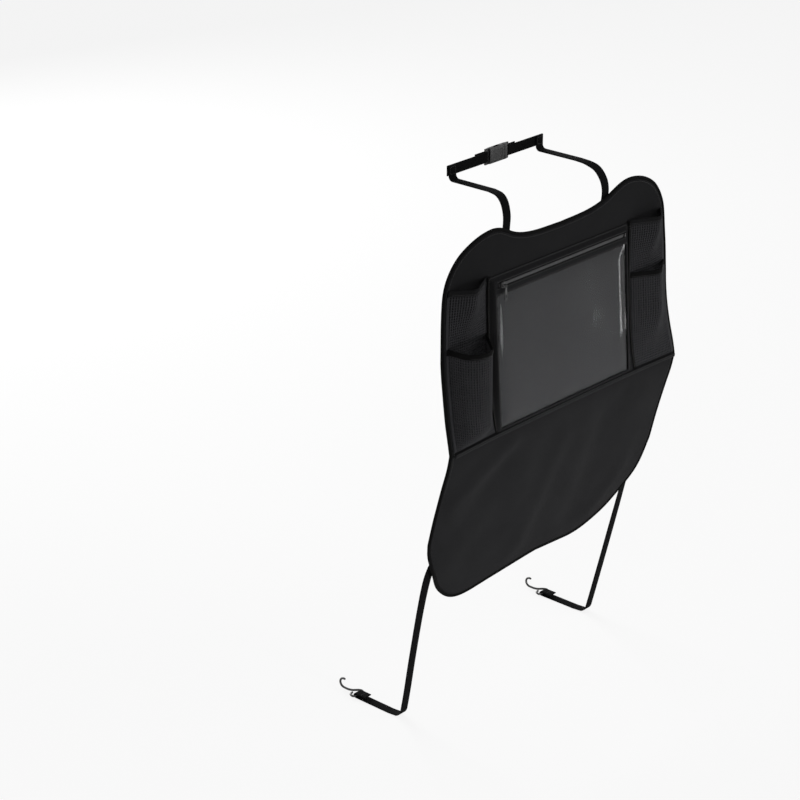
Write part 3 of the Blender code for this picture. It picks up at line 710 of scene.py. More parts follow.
@dataclass(frozen=True)
class Fold:
    """A soft ridge between two spots of the hanging panel, or a dip where its height is negative."""

    start: tuple[float, float]
    end: tuple[float, float]
    width: float
    height: float

    def rise(self, x: float, z: float) -> float:
        """How far the ridge stands out at a spot.

        Args:
            x: The spot's place across, in metres.
            z: Its height.

        Returns:
            The rise in metres.
        """
        (ax, az), (bx, bz) = ((u * MM, v * MM) for u, v in (self.start, self.end))
        run = (bx - ax) ** 2 + (bz - az) ** 2
        t = ((x - ax) * (bx - ax) + (z - az) * (bz - az)) / run
        near = min(max(t, 0.0), 1.0)
        off = math.hypot(x - ax - near * (bx - ax), z - az - near * (bz - az)) / (self.width * MM)
        return self.height * MM * math.exp(-off * off)


@dataclass
class PanelForm:
    """The shape of the hanging panel: its outline, and how far each spot lies toward the seat.

    The outline's (X, Z) knots, the (Z, Y) knots of the profiles and the folds are in millimetres.
    """

    half_width: float = 241.0 * MM
    thickness: float = 2.4 * MM
    piping_radius: float = 2.0 * MM
    cloth: float = 1.0 * MM
    crease_z: float = -92.0 * MM
    lower_height: float = 245.0 * MM
    fold_depth: float = 2.2 * MM
    fold_width: float = 130.0 * MM
    fold_crest_x: float = -75.0 * MM
    taper_depth: float = 3.5 * MM
    taper_rise: float = 90.0 * MM
    lean_depth: float = 10.2 * MM
    lean_x: float = 155.0 * MM
    lean_reach: float = 45.0 * MM
    top_edge: tuple = ((0, 159.5), (55, 161.5), (92, 168.5), (127, 183.5), (152.5, 186), (182.5, 178.5),
                       (211, 161), (231.5, 130), (238, 85), (241, 30))
    bottom_edge: tuple = ((241, -232), (235, -255), (222, -281), (200, -310.5), (185, -324.5),
                          (165, -336.5), (140, -341.5), (90, -339.5), (45, -335), (0, -332))
    upper_middle: tuple = ((-92, -4.5), (-70, 1), (-40, 5), (0, 8.5), (60, 12), (115, 13), (165, 10),
                           (195, 6))
    upper_side: tuple = ((-92, -10), (-74, -6.5), (-50, -1), (-22, 4), (9, 8), (60, 10.5), (120, 12.5),
                         (165, 10), (195, 4))
    lower_middle: tuple = ((-365, 52.5), (-340, 45), (-290, 32), (-241, 19), (-200, 9.5), (-160, 1),
                           (-125, -5.5), (-105, -7), (-92, -4.5))
    lower_side: tuple = ((-365, 98), (-340, 80), (-310, 59), (-289, 44.5), (-241, 30), (-189, 17), (-140, 3),
                         (-114, -5), (-92, -10))
    folds: tuple[Fold, ...] = (
        Fold((-216, -172), (-118, -112), 17.0, 6.0),
        Fold((-196, -225), (-112, -150), 24.0, -4.6),
        Fold((-214, -262), (-150, -312), 26.0, 2.6),
        Fold((-148, -268), (-118, -246), 26.0, -3.0),
        Fold((-60, -318), (-4, -150), 24.0, 5.4),
        Fold((72, -290), (98, -150), 30.0, -5.0),
        Fold((150, -124), (212, -158), 15.0, 3.4),
        Fold((176, -250), (120, -316), 18.0, 3.0),
    )

    def __post_init__(self) -> None:
        """Works out the curves from the knots."""
        self.curves = {
            part: SmoothCurve([(z * MM, y * MM) for z, y in getattr(self, part)])
            for part in ("upper_middle", "upper_side", "lower_middle", "lower_side")
        }
        margin = 2 * self.piping_radius + CLEAR
        self.top_line, self.bottom_line = (
            self.inset(smooth_path([(x * MM, z * MM) for x, z in edge], 8), margin)
            for edge in (self.top_edge, self.bottom_edge)
        )
        self.cloth_half = self.half_width - margin
        crest = max(range(len(self.top_line)), key=lambda i: self.top_line[i][1])
        self.side_line = self.top_line[crest:][::-1]

    @staticmethod
    def inset(points: Sequence[Vector], distance: float) -> list[tuple[float, float]]:
        """Moves an outline inward.

        Args:
            points: The outline's points.
            distance: How far they go, square to the outline.

        Returns:
            The moved (X, Z) points.
        """
        moved = []
        for i, point in enumerate(points):
            before, after = points[max(i - 1, 0)], points[min(i + 1, len(points) - 1)]
            along = (after - before).normalized()
            moved.append((point.x + distance * along.y, point.y - distance * along.x))
        return moved

    def top(self, x: float) -> float:
        """The height of the cloth's top edge at a place across."""
        return float(np.interp(abs(x), [p[0] for p in self.top_line], [p[1] for p in self.top_line]))

    def bottom(self, x: float) -> float:
        """The height of the cloth's bottom edge.

        Args:
            x: The place across.

        Returns:
            The height, which is lower at the left corner than at the right one.
        """
        rising = self.bottom_line[::-1]
        level = float(np.interp(abs(x), [p[0] for p in rising], [p[1] for p in rising]))
        off = (self.lean_x - abs(x)) / self.lean_reach
        return level + math.copysign(self.lean_depth, x) * math.exp(-off * off)

    def taper(self, z: float) -> float:
        """The panel's width at a height, against its width at the crease."""
        return 1 - self.taper_depth / self.half_width * ease((z - self.crease_z) / self.taper_rise)

    def side(self, z: float) -> float:
        """Half of the cloth's width at a height above the crease."""
        edge = np.interp(z, [p[1] for p in self.side_line], [p[0] for p in self.side_line])
        return float(edge) * self.taper(z)

    def y(self, x: float, z: float) -> float:
        """The middle of the panel's thickness.

        Args:
            x: The spot's place across.
            z: Its height.

        Returns:
            How far it lies toward the seat, with the soft folds of the part that hangs below the crease.
        """
        part = "upper" if z >= self.crease_z else "lower"
        reach = (abs(x) / self.half_width) ** 3
        y = self.curves[part + "_middle"].at(z) * (1 - reach) + self.curves[part + "_side"].at(z) * reach
        drop = (self.crease_z - z) / self.lower_height
        if drop > 0:
            fade = math.sin(math.pi * min(drop, 1.0) ** 0.8) * (1 - reach)
            y -= self.fold_depth * fade * math.cos(2 * math.pi * (x - self.fold_crest_x) / self.fold_width)
            held = ease(drop / 0.12) * ease((1 - drop) / 0.15) * (1 - reach ** 2)
            y -= held * sum(fold.rise(x, z) for fold in self.folds)
        return y

    def layer(self, x: float, z: float, number: float) -> float:
        """The middle of a cloth layer that is sewn on the panel's front.

        Args:
            x: The spot's place across.
            z: Its height.
            number: The layer, counted outward from the panel.

        Returns:
            How far the layer lies toward the seat.
        """
        step = self.cloth + CLEAR
        return self.y(x, z) - self.thickness / 2 - CLEAR - self.cloth / 2 - (number - 1) * step

    def point(self, x: float, t: float) -> Vector:
        """A spot on the middle of the panel's thickness.

        Args:
            x: The place across, before the panel's taper.
            t: The place up: 0 at the crease, 1 at the top edge and -1 at the bottom one.

        Returns:
            The spot.
        """
        edge = self.top(x) if t >= 0 else self.bottom(x)
        z = self.crease_z + abs(t) * (edge - self.crease_z)
        x *= self.taper(z)
        return Vector((x, self.y(x, z), z))


@dataclass
class Panel:
    """The padded panel with the piping sewn round its edge."""

    form: PanelForm
    finishes: Finishes
    columns: int = 121
    rows: int = 56
    seam_inset: float = 3.2 * MM
    unfolded_height: float = 545.0 * MM

    def build(self) -> None:
        """Builds the cloth, the piping and the seam."""
        form = self.form
        across = [form.cloth_half * math.sin(math.pi / 2 * t) for t in spaced(-1, 1, self.columns)]
        up = spaced(-1, 1, 2 * self.rows + 1)
        height = form.top(0.0) - form.bottom(0.0)
        cloth = cloth_sheet("panel_cloth", across, up, form.point, form.thickness, self.finishes.panel,
                            size=(1.0, height / 2))
        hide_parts("main_panel")
        edge = self.edge(across, up)
        piping = Strands()
        path = self.offset(edge, form.piping_radius + 0.1 * MM)
        piping.tube(path, form.piping_radius + 0.3 * MM, 12, closed=True)
        piping = piping.piece("panel_piping", self.finishes.binding)
        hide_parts("edge_piping")
        seam = Strands()
        for side in (-1, 1):
            line = [p + FRONT * side * form.thickness / 2 for p in self.offset(edge, -self.seam_inset)]
            seam.stitches(line, FRONT * side)
        stitches = seam.piece("panel_edge_stitches", self.finishes.thread)

    def edge(self, across: Sequence[float], up: Sequence[float]) -> list[Vector]:
        """The cloth's edge.

        Args:
            across: The places across of the cloth's grid.
            up: Its places up.

        Returns:
            A ring of even steps.
        """
        form = self.form
        ring = [form.point(x, 1.0) for x in across] + [form.point(across[-1], t) for t in up[-2:0:-1]]
        ring += [form.point(x, -1.0) for x in across[::-1]] + [form.point(across[0], t) for t in up[1:-1]]
        return evenly([*ring, ring[0]], 3.0 * MM)[:-1]

    @staticmethod
    def offset(ring: Sequence[Vector], distance: float) -> list[Vector]:
        """Moves a ring outward in the panel's plane.

        Args:
            ring: The ring.
            distance: How far it goes, or inward where it is negative.

        Returns:
            The moved ring.
        """
        moved = []
        for i, point in enumerate(ring):
            along = ring[(i + 1) % len(ring)] - ring[i - 1]
            outward = Vector((-along.z, 0.0, along.x)).normalized()
            moved.append(point + distance * outward)
        return moved


@dataclass
class TabletPocket:
    """The cloth frame with its window and zip slot, and the clear film behind the window."""

    form: PanelForm
    finishes: Finishes
    tilt: float = 0.0676
    front: float = -2.0 * MM
    half_width: float = 145.4 * MM
    top: float = 120.0 * MM
    bottom: float = -94.5 * MM
    window_half: float = 136.0 * MM
    window_top: float = 94.0 * MM
    window_bottom: float = -86.5 * MM
    backing_half: float = 138.6 * MM
    film: float = 0.5 * MM
    film_top: float = 97.2 * MM
    film_bottom: float = -88.5 * MM
    slot_left: float = -133.0 * MM
    slot_right: float = 136.0 * MM
    slot_low: float = 104.5 * MM
    slot_high: float = 110.5 * MM
    seam_insets: tuple[float, float] = (1.3 * MM, 1.8 * MM)
    seam_margin: float = 1.7 * MM
    cloth_share: float = 0.31
    hems: tuple = ((2.5 * MM, 4.0 * MM), (3.5 * MM, 4.0 * MM), (2.5 * MM, 3.2 * MM))

    def y(self, z: float) -> float:
        """The middle of the frame's cloth where it stands off the panel."""
        return self.tilt * z + self.front

    def cloth_y(self, x: float, z: float) -> float:
        """The middle of the frame's cloth, sewn down to the panel along its outside.

        Args:
            x: The spot's place across.
            z: Its height.

        Returns:
            How far it lies toward the seat.
        """
        insets = (self.half_width - abs(x), self.top - z, z - self.bottom)
        rise = min(ease((at - flat) / slope) for at, (flat, slope) in zip(insets, self.hems))
        return self.y(z) * rise + self.form.layer(x, z, 1) * (1 - rise)

    def build(self) -> None:
        """Builds the frame, the film and the seams."""
        side, top, bottom = (self.hem_spots(edge, hem) for edge, hem in
                             zip((self.half_width, self.top, -self.bottom), self.hems))
        across = sorted({*side, *[-x for x in side], -self.window_half, self.window_half, self.slot_left,
                         *spaced(-125 * MM, 125 * MM, 26)})
        up = sorted({*top, *[-z for z in bottom], self.window_bottom, *spaced(-80 * MM, 88 * MM, 18),
                     self.window_top, 99.5 * MM, self.slot_low, self.slot_high})

        def skip(i: int, j: int) -> bool:
            """Whether a cell of the grid lies in the window or in the zip slot."""
            x, z = (across[i] + across[i + 1]) / 2, (up[j] + up[j + 1]) / 2
            window = abs(x) < self.window_half and self.window_bottom < z < self.window_top
            slot = self.slot_left < x < self.slot_right and self.slot_low < z < self.slot_high
            return window or slot

        def place(x: float, z: float) -> Vector:
            """A spot on the middle of the frame's cloth."""
            return Vector((x, self.cloth_y(x, z), z))

        frame = cloth_sheet("tablet_pocket_cloth", across, up, place, self.form.cloth, self.finishes.pocket,
                            skip=skip)
        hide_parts("tablet_pocket_frame")
        stitches = self.seams()
        self.window()

    @staticmethod
    def hem_spots(edge: float, hem: tuple[float, float]) -> list[float]:
        """Places across a sewn hem, from its edge inward over its flat part and its slope."""
        flat, slope = hem
        return [edge, edge - flat / 2, *[edge - flat - slope * t for t in (0.0, 0.25, 0.5, 0.75, 1.0)]]

    def seams(self) -> bpy.types.Object:
        """Sews the frame round its outside, round the window and along the zip slot.

        Returns:
            The stitches.
        """

        def on(x: float, z: float) -> Vector:
            """A spot on the front of the frame's cloth."""
            return Vector((x, self.cloth_y(x, z) - self.form.cloth / 2, z))

        inset, top_inset = self.seam_insets
        half, low, high = self.half_width - inset, self.bottom + inset, self.top - top_inset
        margin = self.seam_margin
        side, over, under = self.window_half + margin, self.window_top + margin, self.window_bottom - margin
        left, right = self.slot_left - margin, self.slot_right
        sewing = Strands()
        for corners in (
            ((-half, low), (-half, high), (half, high), (half, low)),
            ((-side, under), (-side, over), (side, over), (side, under)),
            ((left, self.slot_low - margin), (right, self.slot_low - margin)),
            ((left, self.slot_high + margin), (right, self.slot_high + margin)),
        ):
            sewing.seam(corners, on)
        return sewing.piece("tablet_pocket_stitches", self.finishes.thread)

    def window(self) -> None:
        """Builds the film, which swells a little inside its window and has soft ripples."""
        back = self.form.cloth / 2 + CLEAR + self.film / 2
        half = self.backing_half

        def place(x: float, z: float) -> Vector:
            """A spot on the film."""
            free = min(self.window_half - abs(x), self.window_top - z, z - self.window_bottom)
            swell = ease(free / (16 * MM))
            ripple = math.sin(x / (21 * MM) + 1.3 * math.sin(z / (37 * MM))) * math.sin(z / (55 * MM) + 0.7)
            return Vector((x, self.y(z) + back - swell * (0.9 + 0.35 * ripple) * MM, z))

        up = spaced(self.film_bottom, self.film_top, 56)
        film = cloth_sheet("window_film", spaced(-half, half, 80), up, place, self.film, self.finishes.film)
        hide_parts("clear_window")


@dataclass
class Zip:
    """The zip of the tablet pocket: tapes, two coils, end stops, and the slider with its hanging pull.

    The slider narrows over the share of its length that is its tail. The tab's root is given as shares of
    its full width and depth.
    """

    pocket: TabletPocket
    finishes: Finishes
    z: float = 107.5 * MM
    tape: float = 0.6 * MM
    tape_half: float = 138.6 * MM
    borders: tuple[float, float] = (97.8 * MM, 112.2 * MM)
    coil_height: float = 4.2 * MM
    coil_depth: float = 1.4 * MM
    pitch: float = 1.5 * MM
    wire: float = 0.33 * MM
    park_x: float = -126.0 * MM
    body: tuple[float, float, float] = (9.0 * MM, 3.0 * MM, 8.0 * MM)
    reach: float = 4.2 * MM
    bridge: float = 1.3 * MM
    ring: float = 1.8 * MM
    ring_wire: float = 0.5 * MM
    tab: tuple[float, float, float] = (4.5 * MM, 1.4 * MM, 17.5 * MM)
    grip_hole: tuple[float, float, float] = (1.9 * MM, 4.0 * MM, 5.2 * MM)
    end_stop: tuple[float, float, float] = (2.2 * MM, 1.8 * MM, 4.6 * MM)
    stop_inset: float = 2.4 * MM
    tail_narrowing: float = 0.34
    tail_share: float = 0.55
    waist: float = 0.86
    tab_root: tuple[float, float] = (0.70, 0.80)

    def build(self) -> None:
        """Builds the parts from the tapes outward."""
        tape_y = self.pocket.form.cloth / 2 + CLEAR + self.tape / 2
        for word, low, high in (("lower", self.borders[0], self.z - CLEAR / 2),
                                ("upper", self.z + CLEAR / 2, self.borders[1])):
            tape = cloth_sheet(f"zip_{word}_tape", spaced(-self.tape_half, self.tape_half, 60),
                               spaced(low, high, 5), lambda x, z: Vector((x, self.pocket.y(z) + tape_y, z)),
                               self.tape, self.finishes.tape)
            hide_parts(f"zip_tape_{word}")
        face = self.pocket.y(self.z) + tape_y - self.tape / 2 - CLEAR
        self.coils(face)
        for word, x in (("left", self.pocket.slot_left + self.stop_inset),
                        ("right", self.pocket.slot_right - self.stop_inset)):
            self.stop(word, x, face)
        back = face - self.coil_depth - CLEAR
        self.slider(back)
        self.pull(back - self.body[1] - self.reach + self.bridge / 2)

    def coils(self, face: float) -> None:
        """Winds the two interlocking coils.

        Args:
            face: The front of the tapes, in drawing coordinates.
        """
        coil = Strands()
        start, stop = self.pocket.slot_left + 5 * MM, self.pocket.slot_right - 6 * MM
        half = self.coil_height / 2
        near, far = -0.10 * half, 0.86 * half
        front, back = face - self.coil_depth + self.wire, face - self.wire
        turn = [(0.0, back, far), (0.0, front, far), (0.10, front, 0.4 * far), (0.22, front, near),
                (0.42, back - 0.35 * MM, near - 0.25 * MM), (0.6, back, 0.4 * far), (0.75, back, far)]
        for side, shift in ((-1, 0.0), (1, 0.5)):
            for k in range(int((stop - start) / self.pitch)):
                x = start + (k + shift) * self.pitch
                coil.tube([Vector((x + a * self.pitch, y, self.z + side * b)) for a, y, b in turn],
                          self.wire, 6)
        coil = coil.piece("zip_coils", self.finishes.coil, angle=60.0)
        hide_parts("zip_coil")

    def stop(self, word: str, x: float, face: float) -> None:
        """Clamps an end stop over the coils.

        Args:
            word: Left or right.
            x: Its place.
            face: The front of the tapes.
        """
        middle = Vector((x, face - self.end_stop[1] / 2, self.z))
        piece = block(f"zip_end_stop_{word}", self.end_stop, middle)
        round_edges(piece, lambda e: abs(axis_of(e).x) < 0.5, 0.45 * MM, 3)
        dress(piece, self.finishes.metal, Body.PROTECTOR)
        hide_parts(f"zip_stop_{word}")

    def slider(self, back: float) -> None:
        """Models the slider: two shields, wide at the front and narrow behind, with an arch for the pull.

        Args:
            back: The back of the slider.
        """
        middle = Vector((self.park_x, back - self.body[1] / 2, self.z))
        piece = block("zip_slider_body", self.body, middle)
        low = middle + SHIFT
        subdivide(piece, 3)
        for vert in piece.data.vertices:
            t = (vert.co.x - low.x) / self.body[0] + 0.5
            narrow = self.tail_narrowing * ease((self.tail_share - t) / self.tail_share)
            vert.co.z = low.z + (vert.co.z - low.z) * (1.0 - narrow)
            if abs(vert.co.z - low.z) > 0.9 * MM and abs(vert.co.y - low.y) < 0.2 * MM:
                vert.co.z = low.z + (vert.co.z - low.z) * self.waist
        round_edges(piece, lambda e: e.is_manifold and e.calc_face_angle(0.0) > 0.7, 0.5 * MM, 3)
        gap = self.reach - self.bridge
        top = middle.y - self.body[1] / 2
        arch = Strands()
        curve = [(-3.2, 0.9), (-3.1, -1.6), (-2.2, -gap / MM), (0, -gap / MM - 0.65), (2.2, -gap / MM),
                 (3.1, -1.6), (3.2, 0.9)]
        path = smooth_path([(self.park_x + x * MM, top + y * MM, self.z) for x, y in curve], 4)
        arch.sweep(path, flat_section(2.0 * MM, self.bridge * 0.86), lambda i: Vector((0, 0, 1)))
        arch = arch.piece("slider_arch", self.finishes.metal, Body.SLIDER)
        dress(piece, self.finishes.metal, Body.SLIDER)
        join(piece, arch)
        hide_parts("zip_slider")

    def pull(self, bar_y: float) -> None:
        """Models the pull: a ring round the arch and a long tab with a hole near its end.

        Args:
            bar_y: The middle of the arch's bar, which is the hinge.
        """
        length = self.tab[2]
        wide, deep = self.tab_root
        middle = Vector((self.park_x, bar_y, self.z - self.ring - length / 2 + 0.25 * MM))
        piece = block("zip_pull_tab", self.tab, middle)
        centre = middle + SHIFT
        subdivide(piece, 1)
        for vert in piece.data.vertices:
            t = (centre.z + length / 2 - vert.co.z) / length
            vert.co.x = centre.x + (vert.co.x - centre.x) * (wide + (1 - wide) * ease(t / 0.6))
            vert.co.y = centre.y + (vert.co.y - centre.y) * (deep + (1 - deep) * t)
        round_edges(piece, lambda e: e.calc_face_angle(0.0) > 0.7, 0.42 * MM, 3)
        cut = block("grip_hole", self.grip_hole, middle - Vector((0, 0, length * 0.22)))
        round_edges(cut, lambda e: abs(axis_of(e).y) > 0.5, 0.9 * MM, 4)
        carve(piece, cut)
        dress(piece, self.finishes.metal, Body.PULL)
        ring = Strands()
        circle = [Vector((self.park_x, bar_y + self.ring * math.cos(a), self.z + self.ring * math.sin(a)))
                  for a in np.linspace(0, 2 * math.pi, 24, endpoint=False)]
        ring.tube(circle, self.ring_wire, 10, closed=True)
        join(piece, ring.piece("pull_ring", self.finishes.metal, Body.PULL))
        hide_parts("zip_pull")


def block(name: str, size: Sequence[float], centre: Vector) -> bpy.types.Object:
    """Adds a box, alone selected, with its place in its mesh.

    Args:
        name: Its name.
        size: Its size along X, Y and Z.
        centre: Its middle, in drawing coordinates.

    Returns:
        The box.
    """
    bpy.ops.object.select_all(action="DESELECT")
    bpy.ops.mesh.primitive_cube_add(size=1.0, location=centre + SHIFT)
    piece = bpy.context.object
    piece.name = name
    piece.scale = size
    bpy.ops.object.transform_apply(location=True, rotation=True, scale=True)
    return piece


def axis_of(edge: bmesh.types.BMEdge) -> Vector:
    """The direction of an edge."""
    return (edge.verts[1].co - edge.verts[0].co).normalized()


def select_parts(
    piece: bpy.types.Object, kind: str, chosen: Callable[[bmesh.types.BMEdge | bmesh.types.BMFace], bool]
) -> None:
    """Opens a piece in edit mode, with the chosen parts of it selected.

    Args:
        piece: The piece.
        kind: EDGE or FACE.
        chosen: Says which edges or faces are selected.
    """
    select_alone(piece)
    bpy.ops.object.mode_set(mode="EDIT")
    bpy.ops.mesh.select_mode(type=kind)
    bpy.ops.mesh.select_all(action="DESELECT")
    bm = bmesh.from_edit_mesh(piece.data)
    for part in bm.edges if kind == "EDGE" else bm.faces:
        part.select_set(bool(chosen(part)))
    bmesh.update_edit_mesh(piece.data)


def subdivide(piece: bpy.types.Object, cuts: int) -> None:
    """Cuts all edges of a piece.

    Args:
        piece: The piece.
        cuts: The cuts in each edge.
    """
    select_alone(piece)
    bpy.ops.object.mode_set(mode="EDIT")
    bpy.ops.mesh.select_all(action="SELECT")
    bpy.ops.mesh.subdivide(number_cuts=cuts)
    bpy.ops.object.mode_set(mode="OBJECT")


def round_edges(
    piece: bpy.types.Object, chosen: Callable[[bmesh.types.BMEdge], bool], width: float, segments: int
) -> None:
    """Rounds the chosen edges of a piece.

    Args:
        piece: The piece.
        chosen: Says which edges are rounded.
        width: The bevel's width.
        segments: Its number of facets.
    """
    select_parts(piece, "EDGE", chosen)
    bpy.ops.mesh.bevel(offset=width, segments=segments, affect="EDGES", clamp_overlap=True)
    bpy.ops.object.mode_set(mode="OBJECT")


def sink_faces(piece: bpy.types.Object, margin: float, depth: float) -> None:
    """Sinks the broad front and back faces of a piece within a margin, as a mould's shallow panels do.

    Args:
        piece: The piece.
        margin: The width of the rim that is left.
        depth: How deep the panels lie.
    """
    broad = (10 * MM) ** 2
    select_parts(piece, "FACE", lambda f: abs(f.normal.y) > 0.99 and f.calc_area() > broad)
    bpy.ops.mesh.inset(thickness=margin, depth=0.0)
    bpy.ops.mesh.inset(thickness=depth, depth=-depth)
    bpy.ops.object.mode_set(mode="OBJECT")


def carve(piece: bpy.types.Object, tool: bpy.types.Object, operation: str = "DIFFERENCE") -> None:
    """Cuts a tool out of a piece, or joins it on, and removes the tool.

    Args:
        piece: The piece.
        tool: The tool.
        operation: DIFFERENCE cuts it out and UNION joins it on.
    """
    step = piece.modifiers.new("carve", "BOOLEAN")
    step.operation = operation
    step.object = tool
    step.solver = "EXACT"
    apply_modifiers(piece)
    bpy.data.objects.remove(tool, do_unlink=True)


def join(piece: bpy.types.Object, other: bpy.types.Object) -> None:
    """Adds another piece's mesh to a piece.

    Args:
        piece: The piece.
        other: The other one, which is removed.
    """
    bm = bmesh.new()
    bm.from_mesh(piece.data)
    bm.from_mesh(other.data)
    bm.to_mesh(piece.data)
    bm.free()
    bpy.data.objects.remove(other, do_unlink=True)


@dataclass
class NetPocket:
    """A net pocket: its wall, bulged round what it holds, and the hem along its mouth."""

    form: PanelForm
    finishes: Finishes
    hem_finish: Finish
    word: str
    side: int
    hem_z: float
    layer: int
    centre: float
    depth: float
    radius: float
    swell: Callable[[float], float]
    inner: float = 145.9 * MM
    inner_strip: float = 5.5 * MM
    outer_strip: float = 4.0 * MM
    margin: float = 2.2 * MM
    bottom: float = -87.5 * MM
    hem_height: float = 7.2 * MM
    hem_thickness: float = 1.6 * MM
    wall: float = 0.9 * MM
    pitch: tuple[float, float] = (3.6 * MM, 3.5 * MM)
    hole: tuple[float, float] = (0.56, 0.74)
    hem_seam_inset: float = 1.4 * MM
    lines: dict = field(default_factory=dict)

    def line(self, z: float) -> tuple[list[float], list[float], list[float]]:
        """The wall's taut line at a height, round what the pocket holds.

        Args:
            z: The height.

        Returns:
            For points from the inner seam out: how far along the line, the place across, and the depth.
        """
        key = round(z, 6)
        if key not in self.lines:
            outer = self.form.side(z) - self.margin - self.outer_strip
            inner = self.inner + self.inner_strip
            ring = [(self.centre + self.radius * math.cos(a), self.depth + self.radius * math.sin(a))
                    for a in np.linspace(0, math.pi, 36)]
            hull: list[tuple[float, float]] = []
            for point in sorted([(outer, 0.0), (inner, 0.0), *ring]):
                while len(hull) > 1:
                    (ax, ay), (bx, by) = hull[-2:]
                    if (bx - ax) * (point[1] - ay) - (by - ay) * (point[0] - ax) < 0:
                        break
                    hull.pop()
                hull.append(point)
            scaled = [(x, d * self.swell(z)) for x, d in hull]
            run = np.concatenate(([0.0], np.cumsum([math.dist(a, b) for a, b in zip(scaled, scaled[1:])])))
            self.lines[key] = (list(run / run[-1]), [p[0] for p in scaled], [p[1] for p in scaled])
        return self.lines[key]

    def place(self, t: float, z: float, out: float = 0.0) -> Vector:
        """A spot on the wall.

        Args:
            t: From the wall's outer line (0) to its inner one (1), with a sewn strip past each.
            z: The height.
            out: How far it lies in front of the wall's middle.

        Returns:
            The spot.
        """
        edge = self.form.side(z) - self.margin
        outer, inner = edge - self.outer_strip, self.inner + self.inner_strip
        if t < 0:
            x, depth = outer - t * self.outer_strip, 0.0
        elif t > 1:
            x, depth = inner - (t - 1) * self.inner_strip, 0.0
        else:
            run, xs, ds = self.line(z)
            x, depth = float(np.interp(1 - t, run, xs)), float(np.interp(1 - t, run, ds))
        return Vector((self.side * x, self.form.layer(x, z, self.layer) - depth - out, z))

    def build(self) -> None:
        """Builds the net and its hem."""
        top = self.hem_z - self.hem_height - CLEAR
        girth = self.girth(top)
        net = self.net(top, girth)
        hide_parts(f"{self.word}_pocket_mesh")
        hem = self.hem()
        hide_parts(f"{self.word}_pocket_hem")
        stitches = self.hem_seam()

    def girth(self, z: float) -> float:
        """The length of the wall with its strips at a height."""
        spots = [self.place(t, z) for t in spaced(0, 1, 60)]
        return sum((b - a).length for a, b in zip(spots, spots[1:])) + self.outer_strip + self.inner_strip

    def net(self, top: float, girth: float) -> bpy.types.Object:
        """Knits the net: upright strands with thin ties between them, round eight-sided openings.

        Args:
            top: The height of its upper edge.
            girth: Its length there.

        Returns:
            The net.
        """
        columns = round((girth - self.outer_strip - self.inner_strip) / self.pitch[0])
        rows = round((top - self.bottom) / self.pitch[1])
        bm = bmesh.new()
        uv = bm.loops.layers.uv.new(CLOTH_UV)
        made: dict[tuple[float, float], bmesh.types.BMVert] = {}
        high = (top - self.bottom) / rows

        def vert(i: float, j: float) -> bmesh.types.BMVert:
            """The vertex at a column and a row, made once."""
            key = (round(i, 4), round(j, 4))
            if key not in made:
                made[key] = bm.verts.new(self.place(i / columns, self.bottom + j * high) + SHIFT)
            return made[key]

        def face(spots: Sequence[tuple[float, float]]) -> None:
            """Adds a face between some columns and rows."""
            made_face = bm.faces.new([vert(i, j) for i, j in spots])
            for loop, (i, j) in zip(made_face.loops, spots):
                loop[uv].uv = (i * self.pitch[0], j * high)

        w, h = self.hole[0] / 2, self.hole[1] / 2
        inside = ((-w, -h * 0.55), (-w * 0.5, -h), (w * 0.5, -h), (w, -h * 0.55), (w, h * 0.55),
                  (w * 0.5, h), (-w * 0.5, h), (-w, h * 0.55))
        rim = ((-0.5, -0.5), (0.0, -0.5), (0.5, -0.5), (0.5, 0.0), (0.5, 0.5), (0.0, 0.5), (-0.5, 0.5),
               (-0.5, 0.0))
        for j in range(rows):
            for i in range(columns):
                ci, cj = i + 0.5, j + 0.5
                ring = [(ci + a, cj + b) for a, b in inside]
                edge = [(ci + a, cj + b) for a, b in rim]
                for k in range(8):
                    n = (k + 1) % 8
                    face((edge[k], edge[n], ring[n], ring[k]))
            for a, b in ((-columns, 0), (columns, 2 * columns)):
                for low, tall in ((j, j + 0.5), (j + 0.5, j + 1)):
                    face(((a, low), (b, low), (b, tall), (a, tall)))
        bmesh.ops.recalc_face_normals(bm, faces=bm.faces)
        return thickened(f"{self.word}_pocket_net", bm, self.wall, self.finishes.yarn)

    def hem(self) -> bpy.types.Object:
        """Folds the elastic hem over the mouth, a little fuller in its middle.

        Returns:
            The hem.
        """
        low = self.hem_z - self.hem_height
        along = [-1.0, *spaced(0.0, 1.0, 56), 2.0]

        def place(t: float, z: float) -> Vector:
            """A spot on the middle of the hem."""
            lift = math.sin(math.pi * (z - low) / self.hem_height)
            return self.place(t, z, out=(self.hem_thickness - self.form.cloth) / 2 + 0.25 * MM * lift)

        return cloth_sheet(f"{self.word}_pocket_hem_fold", along, spaced(low, self.hem_z, 6), place,
                           self.hem_thickness - 0.3 * MM, self.hem_finish, size=(110 * MM, 1.0))

    def hem_seam(self) -> bpy.types.Object:
        """Sews the hem along its lower edge.

        Returns:
            The stitches.
        """
        z = self.hem_z - self.hem_height + self.hem_seam_inset
        out = self.hem_thickness - self.form.cloth / 2
        sewing = Strands()
        sewing.stitches([self.place(t, z, out=out) for t in spaced(0.02, 0.98, 80)])
        return sewing.piece(f"{self.word}_pocket_stitches", self.finishes.thread)


